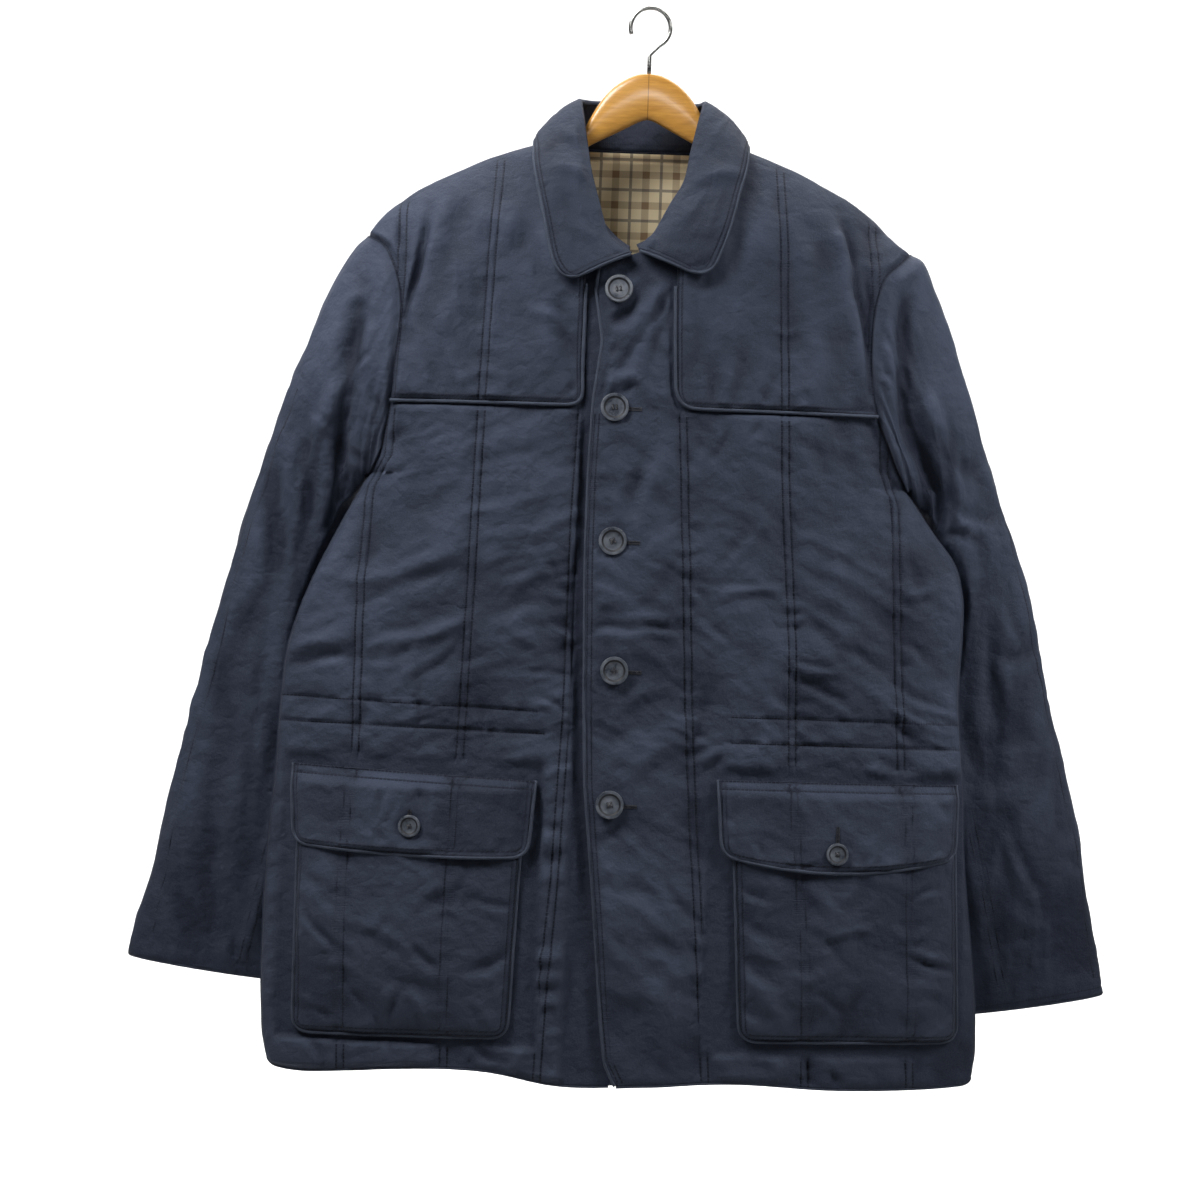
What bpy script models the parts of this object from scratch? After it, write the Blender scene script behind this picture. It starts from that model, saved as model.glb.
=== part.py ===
"""A padded navy car coat, buttoned up and hung on a wooden hanger.

Every cloth piece is a thin closed wall worked out from short tables. The tables
are in millimetres: x runs across the coat (the wearer's right side is negative),
"down" is the distance below the inside top of the hanger's hook, and y runs from
the front of the coat (negative) to its back. The model itself is in metres.
"""
import math

import bmesh
import bpy
import numpy as np

MM = 0.001

# ---- driving sizes, in millimetres --------------------------------------------
WALL = 3.0           # shell, padding and lining of a body or sleeve panel
THIN_WALL = 2.4      # storm flap, pocket and pocket flap
COLLAR_WALL = 2.6
LINING_EASE = 2.0    # how loosely the lining hangs inside the back
SEAM_GAP = 0.35      # between pieces that are sewn together
ARMHOLE_GAP = 0.7    # the same round the curved armhole
LAP_LIFT = 4.8       # how far the buttoned-over front stands proud of the other
PUFF = 1.5           # rise of the padding between two rows of quilting
PUFF_RUN = 16.0      # distance from a row at which the padding is at full height
CORD_RADIUS = 1.5    # piping
FRONT_BUTTON = 23.0
FLAP_BUTTON = 18.0
BUTTON_THICKNESS = 3.4
POCKET_BULGE = 10.5
HOOK_WIRE = 3.5
HOOK_INSIDE = 15.0   # inner radius of the crook
WOOD_THICKNESS = 12.0

# ---- the body's outline: down, x at the wearer's right, x at the wearer's left --
SHOULDER = [
    (111, -79, 71), (115, -86, 77), (120, -98, 89), (128, -124, 112), (143, -156, 145),
    (157, -184, 172), (171, -205, 192), (185, -219, 206), (199, -229.5, 223.5)]
ARMHOLE = [
    (199, -229.5, 223.5), (207, -216, 216), (219, -208, 203), (236, -202, 196),
    (256, -198.5, 192.5), (280, -199, 191), (306, -201.5, 192), (330, -203, 195.5),
    (342, -204.5, 199), (362, -208, 208), (383, -212.5, 217.5), (397, -221, 226)]
SIDE = [
    (397, -221, 226), (412, -229, 236), (432, -239.5, 250), (456, -251.5, 268),
    (484, -264.5, 276), (514, -276, 277), (546, -285, 276), (575, -288, 276),
    (609, -290, 279), (640, -291, 282), (700, -295.5, 285), (740, -297, 289),
    (780, -297.5, 294), (820, -297.5, 298), (850, -296, 299), (874, -293, 298), (889, -288, 294)]

# where the front starts to round back beside the armhole, out on the sleeve
ROUNDING = [
    (199, -229.5, 223.5), (219, -247, 240), (250, -262, 254), (285, -272, 265),
    (315, -274, 270), (342, -266, 262), (365, -250, 250), (383, -236, 238), (397, -221, 226)]

# down, y of the side edge, y of the middle of the front, y of the middle of the back
DEPTH = [
    (98, 2, -13, 34), (120, 2, -21, 40), (150, 2, -33, 43), (185, 1, -45, 45),
    (220, -2, -53, 46), (280, -7, -60, 47), (340, -13, -62, 47), (397, -22, -62, 46),
    (480, -25, -61, 45), (600, -24, -57, 41), (700, -24, -60, 43), (800, -24, -63, 44),
    (895, -24, -64, 44)]

# the neck and centre edge of each front: down, x
RIGHT_FRONT_EDGE = [
    (111, -71.5), (126, -66.5), (150, -58.5), (175, -47.5), (199, -28.5), (212, -12), (219, 2),
    (228, 15),
    (895, 15)]
LEFT_FRONT_EDGE = [
    (111, 63.5), (126, 59.5), (150, 50.5), (175, 35.5), (199, 12.5), (209, 0), (218, -26),
    (223, -35), (242, -37),
    (284, -30), (333, -36), (399, -38), (464, -38), (579, -35), (648, -32), (741, -22),
    (835, -13), (872, -8), (889, 1)]

# rows of quilting, as down, x: the first of each front also edges its storm flap
RIGHT_ROWS = [
    [(107, -47), (276, -47), (344, -46), (437, -49), (592, -50), (716, -55), (817, -61), (890, -64)],
    [(107, -119), (216, -124), (342, -128), (485, -132), (640, -137), (775, -142), (890, -141)],
    [(107, -196), (383, -204), (410, -219), (476, -223), (644, -223), (734, -227), (890, -226)]]
LEFT_ROWS = [
    [(107, 26), (276, 29), (324, 31), (342, 37), (398, 40), (521, 47), (597, 51), (738, 62),
     (809, 68), (890, 74)],
    [(107, 109), (203, 116), (331, 120), (405, 124), (536, 134), (665, 138), (783, 151), (890, 156)],
    [(107, 184), (383, 206), (412, 216), (552, 223), (662, 230), (804, 238), (890, 243)]]
BACK_ROWS_X = (-226, -132, -44, 44, 132, 226)

# the hem: x, down
HEM = [
    (-290, 883), (-267, 892), (-218, 889), (-185, 886), (-105, 885), (-49, 894), (26, 892),
    (97, 888), (180, 891), (263, 889), (296, 884)]
HEM_ZONE = 800       # above this the rows are level

STORM_FLAP_ROW = 342
WAIST_ROWS = (590, 609)       # the two stitched edges of the drawcord casing
WAIST_END = (-70, 82)         # where the casing stops on each front
POCKET_TOP_ROW = 640

# rows of the panels' grids
LEVELS = [
    115, 121, 130, 143, 157, 171, 185, 199, 207, 219, 236, 256, 280, 308, 342, 362, 383,
    397, 412, 432, 456, 484, 514, 550, 590, 609, 640, 690, 745, 805, 850, 889]
TIP_LEVEL = LEVELS.index(199)
UNDERARM_LEVEL = LEVELS.index(397)

# ---- the main folds: x and down of both ends, half width, height towards the front
FRONT_FOLDS = [
    (-178, 180, -197, 285, 11, -5.0), (-160, 190, -176, 300, 12, 3.0),
    (-66, 262, -46, 336, 9, -3.5), (168, 172, 192, 290, 10, -4.5),
    (150, 200, 166, 300, 12, 3.0), (20, 245, -26, 330, 8, -3.5), (4, 262, -30, 312, 7, 3.0),
    (-240, 500, -190, 470, 12, 3.0), (-262, 560, -205, 545, 10, -3.0),
    (120, 560, 205, 500, 14, 2.5), (-66, 700, -52, 850, 9, 3.5), (-30, 700, -42, 880, 9, -3.0),
    (24, 800, 44, 888, 10, 3.0)]
BACK_FOLDS = [
    (-150, 190, -182, 330, 13, 4.0), (150, 190, 180, 330, 13, 4.0),
    (-60, 520, -110, 580, 14, 3.5), (70, 530, 120, 585, 14, 3.5),
    (-90, 640, -120, 860, 12, 3.5), (95, 640, 130, 860, 12, 3.5), (0, 620, 8, 870, 16, -3.5)]

# ---- sleeves: outer edge x, down, y; inner edge x, down, y; half depth ----------
RIGHT_SLEEVE = [
    (-229.5, 199, 1, -221, 397, -22, 35), (-238, 206, 1, -222.8, 399.5, -21, 35),
    (-250, 227, 1, -223, 402, -15, 36), (-263, 255, 2, -224.5, 406, -8, 36),
    (-277, 288, 4, -228, 414, 1, 36), (-290, 322, 5, -231, 428, 10, 35),
    (-304, 358, 7, -227, 449, 18, 34), (-317, 396, 9, -221, 475, 25, 33),
    (-330, 441, 11, -216, 512, 30, 32), (-344, 497, 13, -217, 562, 34, 31),
    (-357, 555, 15, -222, 620, 36, 30), (-370, 615, 17, -234, 680, 37, 29),
    (-384, 680, 19, -248, 734, 37, 28), (-397, 738, 20, -262, 780, 36, 27),
    (-409, 783, 21, -273, 813, 35, 26), (-415, 809, 22, -280, 828, 34, 26)]
LEFT_SLEEVE = [
    (223.5, 199, 1, 226, 397, -22, 35), (233, 207, 1, 228, 399.5, -21, 35),
    (244, 229, 1, 228.5, 402, -15, 36), (256, 258, 2, 231, 406, -8, 36),
    (267, 290, 4, 236, 414, 1, 36), (279, 322, 5, 241, 428, 10, 35),
    (292, 355, 7, 236, 449, 18, 34), (306, 393, 9, 227, 475, 25, 33),
    (322, 440, 11, 219, 512, 30, 32), (340, 497, 13, 217, 562, 34, 31),
    (354, 556, 15, 222, 620, 36, 30), (369, 614, 17, 234, 680, 37, 29),
    (384, 680, 19, 248, 734, 37, 28), (397, 739, 20, 262, 782, 36, 27),
    (407, 785, 21, 273, 819, 35, 26), (412, 814, 22, 280, 838, 34, 26)]
ARMHOLE_FADE = 7      # rings over which the sleeve loses the armhole's curve
BEHIND_BODY = 6.0     # a sleeve's clearance behind the back of the body
BESIDE_BODY = 9.0     # and how far out beside the body's edge it still keeps back
UNDERARM_CHECK = 398  # below this a sleeve hangs beside or behind the body

# sleeve folds: fraction along, position round (0 outer edge, 1 inner edge) at both
# ends, half width, height; a positive side is the front of the sleeve
SLEEVE_FOLDS = [
    (0.12, 0.30, 0.55, 0.42, 9, 4.0, 1), (0.20, 0.62, 0.50, 0.66, 8, -3.5, 1),
    (0.45, 0.22, 0.85, 0.50, 9, -3.5, 1), (0.60, 0.62, 0.95, 0.70, 8, 3.5, 1),
    (0.15, 0.35, 0.60, 0.50, 10, 4.0, -1), (0.50, 0.30, 0.90, 0.55, 9, -3.5, -1)]

# ---- collar: sewn edge x, down, y; fold x, down, y; leaf edge x, down, y --------
COLLAR = [
    (-11, 205, -50, -10, 211, -65, -60, 236, -70),
    (-20, 199, -49, -20, 205, -63, -70, 230, -69),
    (-29, 190, -46, -30, 194, -59, -77, 216, -67),
    (-41, 174, -42, -38, 168, -51, -84, 186, -60),
    (-51, 153, -33, -45, 143, -42, -91, 156, -49),
    (-58, 132, -24, -49, 121, -30, -95, 137, -39),
    (-64, 116, -12, -54, 93, -16, -96, 124, -25),
    (-68, 113.5, 1, -58, 77, 0, -96, 112, 3),
    (-66, 113.5, 17, -57, 73, 20, -92, 119, 30),
    (-54, 113.5, 31, -48, 72, 34, -80, 132, 50),
    (-32, 113.5, 38, -32, 71, 43, -54, 143, 61),
    (-4, 113.5, 40, -6, 71, 48, -4, 148, 65),
    (24, 113.5, 38, 20, 71, 43, 44, 143, 61),
    (46, 113.5, 31, 37, 72, 34, 72, 132, 50),
    (58, 113.5, 17, 46, 73, 20, 84, 119, 30),
    (61, 113.5, 1, 49, 75, 0, 88, 112, 3),
    (57, 116, -12, 44, 91, -16, 87, 122, -25),
    (51, 132, -24, 37, 121, -30, 85, 137, -39),
    (43, 152, -33, 32, 147, -42, 80, 156, -49),
    (30, 171, -42, 21, 168, -51, 73, 186, -61),
    (14, 187, -47, 9, 192, -59, 65, 210, -67),
    (3, 198, -49, 2, 200, -63, 58, 224, -69),
    (-6, 203, -50, -4, 208, -65, 47, 229, -70)]
COLLAR_BULGE = 3.5
COLLAR_ROLL = 3.0     # outer radius of the rolled fold
END_ROLL = 1.9        # the same at the collar's two ends
FOLD_STATION = 6      # the grid's row where the leaf starts to fall

# ---- pockets and flaps: top-left, top-right, bottom-right, bottom-left corners --
RIGHT_POCKET = ((-267, 664), (-83, 664), (-90, 857), (-266, 860))
LEFT_POCKET = ((90, 664), (272, 664), (280, 851), (101, 853))
RIGHT_FLAP = ((-273, 640), (-74, 647), (-78, 711), (-269, 706))
LEFT_FLAP = ((77, 641), (273, 640), (270, 708), (82, 706))
CORNER = 11.0
FRONT_BUTTONS = [(-19, 242), (-19, 339), (-17, 448), (-12, 554), (-12, 664)]
FLAP_BUTTONS = [(1, "right_flap_button", -173, 687), (2, "left_flap_button", 177, 698)]
BUTTON_LIFT = 0.3     # room for the cloth's curve under a flat button

# ---- hanger: x, top down, bottom down -------------------------------------------
WOOD = [
    (0, 53, 92), (13, 55, 98), (26, 62, 105), (38, 74, 111), (48, 92, 116), (52, 100.5, 119),
    (55, 108.5, 122), (59, 117, 127), (72, 124, 137), (100, 136, 152), (150, 159, 177),
    (184, 179, 192), (196, 188, 196)]

# ---- colours, linear ------------------------------------------------------------
NAVY = (0.040, 0.050, 0.077)
DARK_NAVY = (0.022, 0.028, 0.043)
CREAM = (0.60, 0.52, 0.38)
HORN = (0.020, 0.022, 0.028)
AMBER = (0.48, 0.24, 0.065)
STEEL = (0.60, 0.60, 0.58)


# ---- small tools ----------------------------------------------------------------
def smooth(rows, column, at):
    """The table's column at a place, along a smooth curve through its rows."""
    rows = np.asarray(rows, float)
    key, value = rows[:, 0], rows[:, column]
    at = np.clip(np.asarray(at, float), key[0], key[-1])
    slope = np.gradient(value, key)
    k = np.clip(np.searchsorted(key, at, side="right") - 1, 0, len(key) - 2)
    step = key[k + 1] - key[k]
    f = (at - key[k]) / step
    low, high = value[k], value[k + 1]
    ease = f * f * (3 - 2 * f)
    return (low + (high - low) * ease + step * slope[k] * f * (1 - f) ** 2
            - step * slope[k + 1] * f * f * (1 - f))


def straight(rows, at):
    rows = np.asarray(rows, float)
    return np.interp(at, rows[:, 0], rows[:, 1])


def ramp(value, start, end):
    f = np.clip((value - start) / (end - start), 0, 1)
    return f * f * (3 - 2 * f)


def outline(down, side):
    """x of the body's edge: shoulder, armhole seam or side. side is 1 or 2."""
    down = np.asarray(down, float)
    return np.where(down < SHOULDER[-1][0], smooth(SHOULDER, side, down),
                    np.where(down < ARMHOLE[-1][0], smooth(ARMHOLE, side, down),
                             smooth(SIDE, side, down)))


def rounding(down, side):
    """x where the body's round side ends, which beside the armhole is on the sleeve."""
    down = np.asarray(down, float)
    beside_armhole = (down > ROUNDING[0][0]) & (down < ROUNDING[-1][0])
    return np.where(beside_armhole, smooth(ROUNDING, side, down), outline(down, side))


def folds(table, x, down):
    """Height that soft ridges and troughs add at a place."""
    height = np.zeros(np.broadcast(x, down).shape)
    for x0, down0, x1, down1, half_width, rise in table:
        length2 = (x1 - x0) ** 2 + (down1 - down0) ** 2
        f = np.clip(((x - x0) * (x1 - x0) + (down - down0) * (down1 - down0)) / length2, 0, 1)
        away = np.hypot(x - x0 - f * (x1 - x0), down - down0 - f * (down1 - down0))
        height = height + rise * np.sin(math.pi * np.clip(f, 0.06, 0.94)) * np.exp(-(away / half_width) ** 2)
    return height


def roundness(x, down):
    """1 in the middle of the body, falling to 0 at its edge."""
    half = np.where(x < 0, -rounding(down, 1), rounding(down, 2))
    t = np.clip(np.abs(x) / half, 0, 1)
    return (1 - t ** 2.6) ** 0.6


def front_y(x, down):
    x, down = np.asarray(x, float), np.asarray(down, float)
    edge, middle = smooth(DEPTH, 1, down), smooth(DEPTH, 2, down)
    r = roundness(x, down)
    return edge + (middle - edge) * r - folds(FRONT_FOLDS, x, down) * np.minimum(1, 1.6 * r)


def back_y(x, down):
    x, down = np.asarray(x, float), np.asarray(down, float)
    edge, middle = smooth(DEPTH, 1, down), smooth(DEPTH, 3, down)
    r = roundness(x, down)
    return edge + SEAM_GAP + (middle - edge) * r + folds(BACK_FOLDS, x, down) * np.minimum(1, 1.6 * r)


def left_front_y(x, down):
    """The buttoned-over front, which lies on the other one near its edge."""
    return front_y(x, down) - LAP_LIFT * (1 - ramp(x, 24, 72))


def quilting(x, down, row_tables, waist_side):
    """Height of the padding: none on a stitched row, full PUFF_RUN away from it."""
    away = np.full(np.broadcast(x, down).shape, 1e6)
    for row in row_tables:
        away = np.minimum(away, np.abs(x - straight(row, down)))
    casing = (x < WAIST_END[0]) if waist_side == 1 else (x > WAIST_END[1])
    for level in WAIST_ROWS:
        away = np.minimum(away, np.where(casing, np.abs(down - level), 1e6))
    f = np.clip(away / PUFF_RUN, 0, 1)
    return PUFF * (1 - (1 - f) ** 2)


# ---- meshes -----------------------------------------------------------------------
def material(name, colour, roughness, metallic=0.0):
    made = bpy.data.materials.get(name)
    if made is None:
        made = bpy.data.materials.new(name)
        made.use_nodes = True
        shader = made.node_tree.nodes["Principled BSDF"]
        shader.inputs["Base Color"].default_value = (*colour, 1)
        shader.inputs["Roughness"].default_value = roughness
        shader.inputs["Metallic"].default_value = metallic
    return made


def add_object(name, points, faces, finish, flat=False):
    """One closed solid from points in millimetres and faces of either winding."""
    mesh = bpy.data.meshes.new(name)
    mesh.from_pydata([tuple(float(c) * MM for c in p) for p in points], [], faces)
    work = bmesh.new()
    work.from_mesh(mesh)
    bmesh.ops.recalc_face_normals(work, faces=work.faces)
    if work.calc_volume(signed=True) < 0:
        bmesh.ops.reverse_faces(work, faces=work.faces)
    work.to_mesh(mesh)
    work.free()
    if not flat:
        mesh.shade_smooth()
    mesh.materials.append(finish)
    made = bpy.data.objects.new(name, mesh)
    bpy.context.scene.collection.objects.link(made)
    return made


def wall(name, outer, inner, finish, tube=False):
    """A closed wall between two equal grids of points; a tube's columns run round."""
    rows, columns = outer.shape[:2]
    points = np.vstack([outer.reshape(-1, 3), inner.reshape(-1, 3)])
    under = rows * columns

    def at(row, column, layer):
        return layer * under + row * columns + column % columns

    faces = []
    last = columns if tube else columns - 1
    for r in range(rows - 1):
        for c in range(last):
            corners = [(r, c), (r, c + 1), (r + 1, c + 1), (r + 1, c)]
            a, b, d, e = (at(*corner, 0) for corner in corners)
            faces += [(a, b, d), (a, d, e)]
            a, b, d, e = (at(*corner, 1) for corner in corners)
            faces += [(b, a, d), (d, a, e)]
    rims = [((r, c), (r, (c + 1) % columns)) for r in (0, rows - 1) for c in range(last)]
    if not tube:
        rims += [((r, c), (r + 1, c)) for c in (0, columns - 1) for r in range(rows - 1)]
    for one, other in rims:
        # the same diagonal is used on both sides of a seam, so its two pieces stay apart
        if outer[one][2] < outer[other][2]:
            one, other = other, one
        faces.append((at(*one, 0), at(*other, 0), at(*other, 1)))
        faces.append((at(*one, 0), at(*other, 1), at(*one, 1)))
    return add_object(name, points, faces, finish)


def unit(vectors):
    return vectors / np.linalg.norm(vectors, axis=-1, keepdims=True)


def surface_normals(surface, x, down, outward):
    """Normals of y = surface(x, down), pointing to the given side in y."""
    step = 0.6
    slope_x = (surface(x + step, down) - surface(x - step, down)) / (2 * step)
    slope_z = -(surface(x, down + step) - surface(x, down - step)) / (2 * step)
    normals = np.stack([-slope_x, np.ones_like(slope_x), -slope_z], axis=-1) * outward
    return unit(normals)


def grid_normals(grid, tube=False):
    """Normals of a grid of points, to the side that its rows and columns turn to."""
    if tube:
        along_columns = np.roll(grid, -1, axis=1) - np.roll(grid, 1, axis=1)
    else:
        along_columns = np.gradient(grid, axis=1)
    return unit(np.cross(along_columns, np.gradient(grid, axis=0)))


def place(x, y, down):
    return np.stack([x, y, -np.asarray(down, float)], axis=-1)


def tube(name, path, radius, finish, sides=6):
    """A round cord along a list of points, with flat ends."""
    path = np.asarray(path, float)
    tangents = unit(np.gradient(path, axis=0))
    side = unit(np.cross(tangents[0], (0.31, 0.9, 0.29)))
    rings = []
    for point, tangent in zip(path, tangents):
        side = side - tangent * np.dot(side, tangent)
        side = side / np.linalg.norm(side)
        other = np.cross(tangent, side)
        turns = np.arange(sides) * 2 * math.pi / sides
        rings.append(point + radius * (np.outer(np.cos(turns), side) + np.outer(np.sin(turns), other)))
    points = np.vstack(rings)
    faces = []
    for r in range(len(path) - 1):
        for s in range(sides):
            t = (s + 1) % sides
            faces.append((r * sides + s, r * sides + t, (r + 1) * sides + t, (r + 1) * sides + s))
    faces.append(tuple(range(sides)))
    faces.append(tuple((len(path) - 1) * sides + s for s in range(sides)))
    return add_object(name, points, faces, finish)


# ---- the body panels --------------------------------------------------------------
def columns_between(guides, shares):
    """Column places from guide lines, with the shares of each span between two of them.

    guides is a list of arrays, one x for each level, from the outer edge inwards.
    """
    count = len(guides)
    first, last = guides[0], guides[-1]
    room = np.abs(last - first)
    spare = np.minimum(7.0, 0.8 * room / (count - 1))
    sign = np.sign(last - first)
    kept = [first]
    for k in range(1, count - 1):
        low = first + sign * spare * k
        high = last - sign * spare * (count - 1 - k)
        inside = np.clip(sign * guides[k], sign * low, sign * high) * sign
        kept.append(np.where(sign * (inside - kept[-1]) < spare, kept[-1] + sign * spare, inside))
    kept.append(last)
    places = []
    for k in range(count - 1):
        for share in shares[k]:
            places.append(kept[k] + (kept[k + 1] - kept[k]) * share)
    places.append(last)
    return np.stack(places, axis=1)


EDGE_SPAN = (0, 0.12, 0.27, 0.5)
ROW_SPAN = (0, 0.2, 0.8)
LAST_SPAN = (0, 0.35)
FIRST_ROW_COLUMN = len(EDGE_SPAN) + 2 * len(ROW_SPAN)   # the quilting row nearest the centre
TIP_TURN = 0.8        # how far the wall turns sideways at the shoulder tip
FLAP_CORNER = 3.0     # how far the storm flap's corner is drawn in
PIPING_LIFT = 2.4     # height of a piping's middle above the panel under it


def levels_for(x):
    """How far down each grid point is: level rows, bending to the hem's own line."""
    level = np.asarray(LEVELS, float)[:, None] * np.ones((1, x.shape[1]))
    hem = straight(HEM, x)
    share = np.clip((level - HEM_ZONE) / (LEVELS[-1] - HEM_ZONE), 0, 1)
    return np.where(level > HEM_ZONE, HEM_ZONE + share * (hem - HEM_ZONE), level)


def edge_normals(normals, side_column, side):
    """Along shoulder and side the wall ends square to the seam, so its two pieces meet flat."""
    out = -1.0 if side == 1 else 1.0
    level = np.asarray(LEVELS, float)
    above = level <= SHOULDER[-1][0]
    slope = (outline(level + 1, side) - outline(level - 1, side)) / 2
    across = unit(np.stack([np.full_like(level, 1.0), 0 * level, slope], axis=-1)) * out
    square = np.where(above[:, None], across, np.array([out, 0.0, 0.0]))
    keep = (level > SHOULDER[-1][0]) & (level < SIDE[0][0])
    edge = np.where(keep[:, None], normals[:, side_column], square)
    edge[TIP_LEVEL] = edge[TIP_LEVEL] + TIP_TURN * np.array([out, 0.0, 0.0])
    edge[TIP_LEVEL + 1] = edge[TIP_LEVEL + 1] + TIP_TURN * unit(edge[TIP_LEVEL])
    normals[:, side_column] = unit(edge)
    return normals


def front_grid(side):
    """Grid of one front: x, down, surface points and normals."""
    level = np.asarray(LEVELS, float)
    surface = front_y if side == 1 else left_front_y
    rows = RIGHT_ROWS if side == 1 else LEFT_ROWS
    edge = RIGHT_FRONT_EDGE if side == 1 else LEFT_FRONT_EDGE
    guides = [outline(level, side)]
    guides += [straight(row, level) for row in reversed(rows)]
    guides.append(straight(edge, level))
    x = columns_between(guides, [EDGE_SPAN, ROW_SPAN, ROW_SPAN, LAST_SPAN])
    down = levels_for(x)
    points = place(x, surface(x, down), down)
    normals = edge_normals(surface_normals(surface, x, down, -1), 0, side)
    return x, down, points, normals


def plain_zone(x, down, side):
    """0 where a front is covered by its storm flap, its pocket or the other front."""
    flap = RIGHT_FLAP if side == 1 else LEFT_FLAP
    row = (RIGHT_ROWS if side == 1 else LEFT_ROWS)[0]
    covered = (down <= STORM_FLAP_ROW + 1) & (np.abs(x) > np.abs(straight(row, down)) - 3)
    low, high = flap[0][0] - 14, flap[1][0] + 14
    covered |= (down >= POCKET_TOP_ROW - 1) & (down < 868) & (x > low) & (x < high)
    if side == 1:
        covered |= (x > -42)
    covered |= down < 236
    return np.where(covered, 0.0, 1.0)


def build_front(side, finish):
    name = "right_front" if side == 1 else "left_front"
    rows = RIGHT_ROWS if side == 1 else LEFT_ROWS
    x, down, points, normals = front_grid(side)
    puff = quilting(x, down, rows, side) * plain_zone(x, down, side)
    puff[:, 0] = 0
    puff[-1] = 0
    outer = points + normals * puff[..., None]
    inner = points - normals * WALL
    wall(name, outer, inner, finish)
    return x, down, points, normals


def build_back(finish):
    level = np.asarray(LEVELS, float)
    guides = [outline(level, 1)]
    guides += [np.full_like(level, x) for x in BACK_ROWS_X]
    guides.append(outline(level, 2))
    spans = [EDGE_SPAN] + [(0, 0.5)] * (len(BACK_ROWS_X) - 1) + [(0, 0.5, 0.73, 0.88)]
    x = columns_between(guides, spans)
    down = levels_for(x)
    points = place(x, back_y(x, down), down)
    normals = surface_normals(back_y, x, down, 1)
    normals = edge_normals(edge_normals(normals, 0, 1), -1, 2)
    away = np.min([np.abs(x - at) for at in BACK_ROWS_X], axis=0)
    for waist in WAIST_ROWS:
        away = np.minimum(away, np.abs(down - waist))
    f = np.clip(away / PUFF_RUN, 0, 1)
    puff = PUFF * (1 - (1 - f) ** 2)
    puff[:, 0] = puff[:, -1] = 0
    puff[0] = puff[-1] = 0
    outer = points + normals * puff[..., None]
    inner = points - normals * WALL
    wall("back", outer, inner, finish)
    return points, normals


# ---- the sleeves --------------------------------------------------------------------
def behind(x, down):
    """y that a sleeve has to stay behind, where it hangs at the back of the body."""
    side = np.where(x < 0, 1, 2)
    edge = np.where(side == 1, -outline(down, 1), outline(down, 2))
    reach = np.abs(x) - BESIDE_BODY * ramp(down, UNDERARM_CHECK, UNDERARM_CHECK + 34)
    limit = back_y(np.clip(reach, 0, edge) * np.sign(x), down) + BEHIND_BODY
    limit = limit - 1.4 * np.maximum(reach - edge, 0)
    return np.where(down > UNDERARM_CHECK, limit, -1e3)


def sleeve_grid(side, front, back):
    """Rings from the armhole to the cuff; each ring runs from the tip round the front."""
    table = np.asarray(RIGHT_SLEEVE if side == 1 else LEFT_SLEEVE, float)
    out = -1.0 if side == 1 else 1.0
    column_front, column_back = 0, (0 if side == 1 else -1)
    seam_rows = range(TIP_LEVEL, UNDERARM_LEVEL + 1)
    front_seam = [front[2][r, column_front] for r in seam_rows]
    front_turn = [front[3][r, column_front] for r in seam_rows]
    back_seam = [back[0][r, column_back] for r in seam_rows][1:-1][::-1]
    back_turn = [back[1][r, column_back] for r in seam_rows][1:-1][::-1]
    ring0 = np.array(front_seam + back_seam)
    turn0 = np.array(front_turn + back_turn)
    levels = np.asarray(LEVELS, float)[TIP_LEVEL:UNDERARM_LEVEL + 1]
    share = (levels - levels[0]) / (levels[-1] - levels[0])
    share = np.concatenate([share, share[1:-1][::-1]])
    seam_run = np.roll(ring0, -1, axis=0) - np.roll(ring0, 1, axis=0)
    gap = ARMHOLE_GAP * (1 + 0.7 * (share < 0.1))[:, None]
    ring0 = ring0 - out * gap * unit(np.cross(seam_run, turn0))
    half = len(front_seam)
    facing = np.array([-1.0] * half + [1.0] * (len(share) - half))
    facing[0] = facing[half - 1] = 0
    depth = np.sqrt(np.clip(1 - (2 * share - 1) ** 2, 0, 1)) ** 0.85

    def formula(row):
        outer, inner = row[0:3], row[3:6]
        x = outer[0] + (inner[0] - outer[0]) * share
        down = outer[1] + (inner[1] - outer[1]) * share
        y = outer[2] + (inner[2] - outer[2]) * share + facing * row[6] * depth
        return place(x, y, down)

    start = formula(table[0])
    rings = []
    for k, row in enumerate(table):
        fade = 1 - ramp(float(k), 0, ARMHOLE_FADE)
        ring = formula(row) + fade * (ring0 - start)
        along = k / (len(table) - 1)
        lift = np.zeros(len(share))
        for s0, p0, s1, p1, half_width, rise, face in SLEEVE_FOLDS:
            f = np.clip((along - s0) / (s1 - s0), 0, 1)
            away = (share - (p0 + f * (p1 - p0))) * 150
            lift += (facing == -face) * rise * np.sin(math.pi * f) * np.exp(-(away / half_width) ** 2)
        ring[:, 1] += facing * lift
        if k > 0:
            limit = behind(ring[:, 0], -ring[:, 2])
            ring[:half, 1] = np.maximum(ring[:half, 1], limit[:half])
            for j in range(half, len(share)):
                twin = len(share) - j
                ring[j, 1] = max(ring[j, 1], ring[twin, 1] + 16 * depth[j])
        rings.append(ring)
    grid = np.array(rings)
    normals = grid_normals(grid, tube=True)
    middle = grid.mean(axis=1, keepdims=True)
    if np.sum((grid - middle) * normals) < 0:
        normals = -normals
    normals[0] = turn0
    return grid, normals


def build_sleeve(side, front, back, finish):
    grid, normals = sleeve_grid(side, front, back)
    name = "right_sleeve" if side == 1 else "left_sleeve"
    wall(name, grid, grid - normals * WALL, finish, tube=True)


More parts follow.
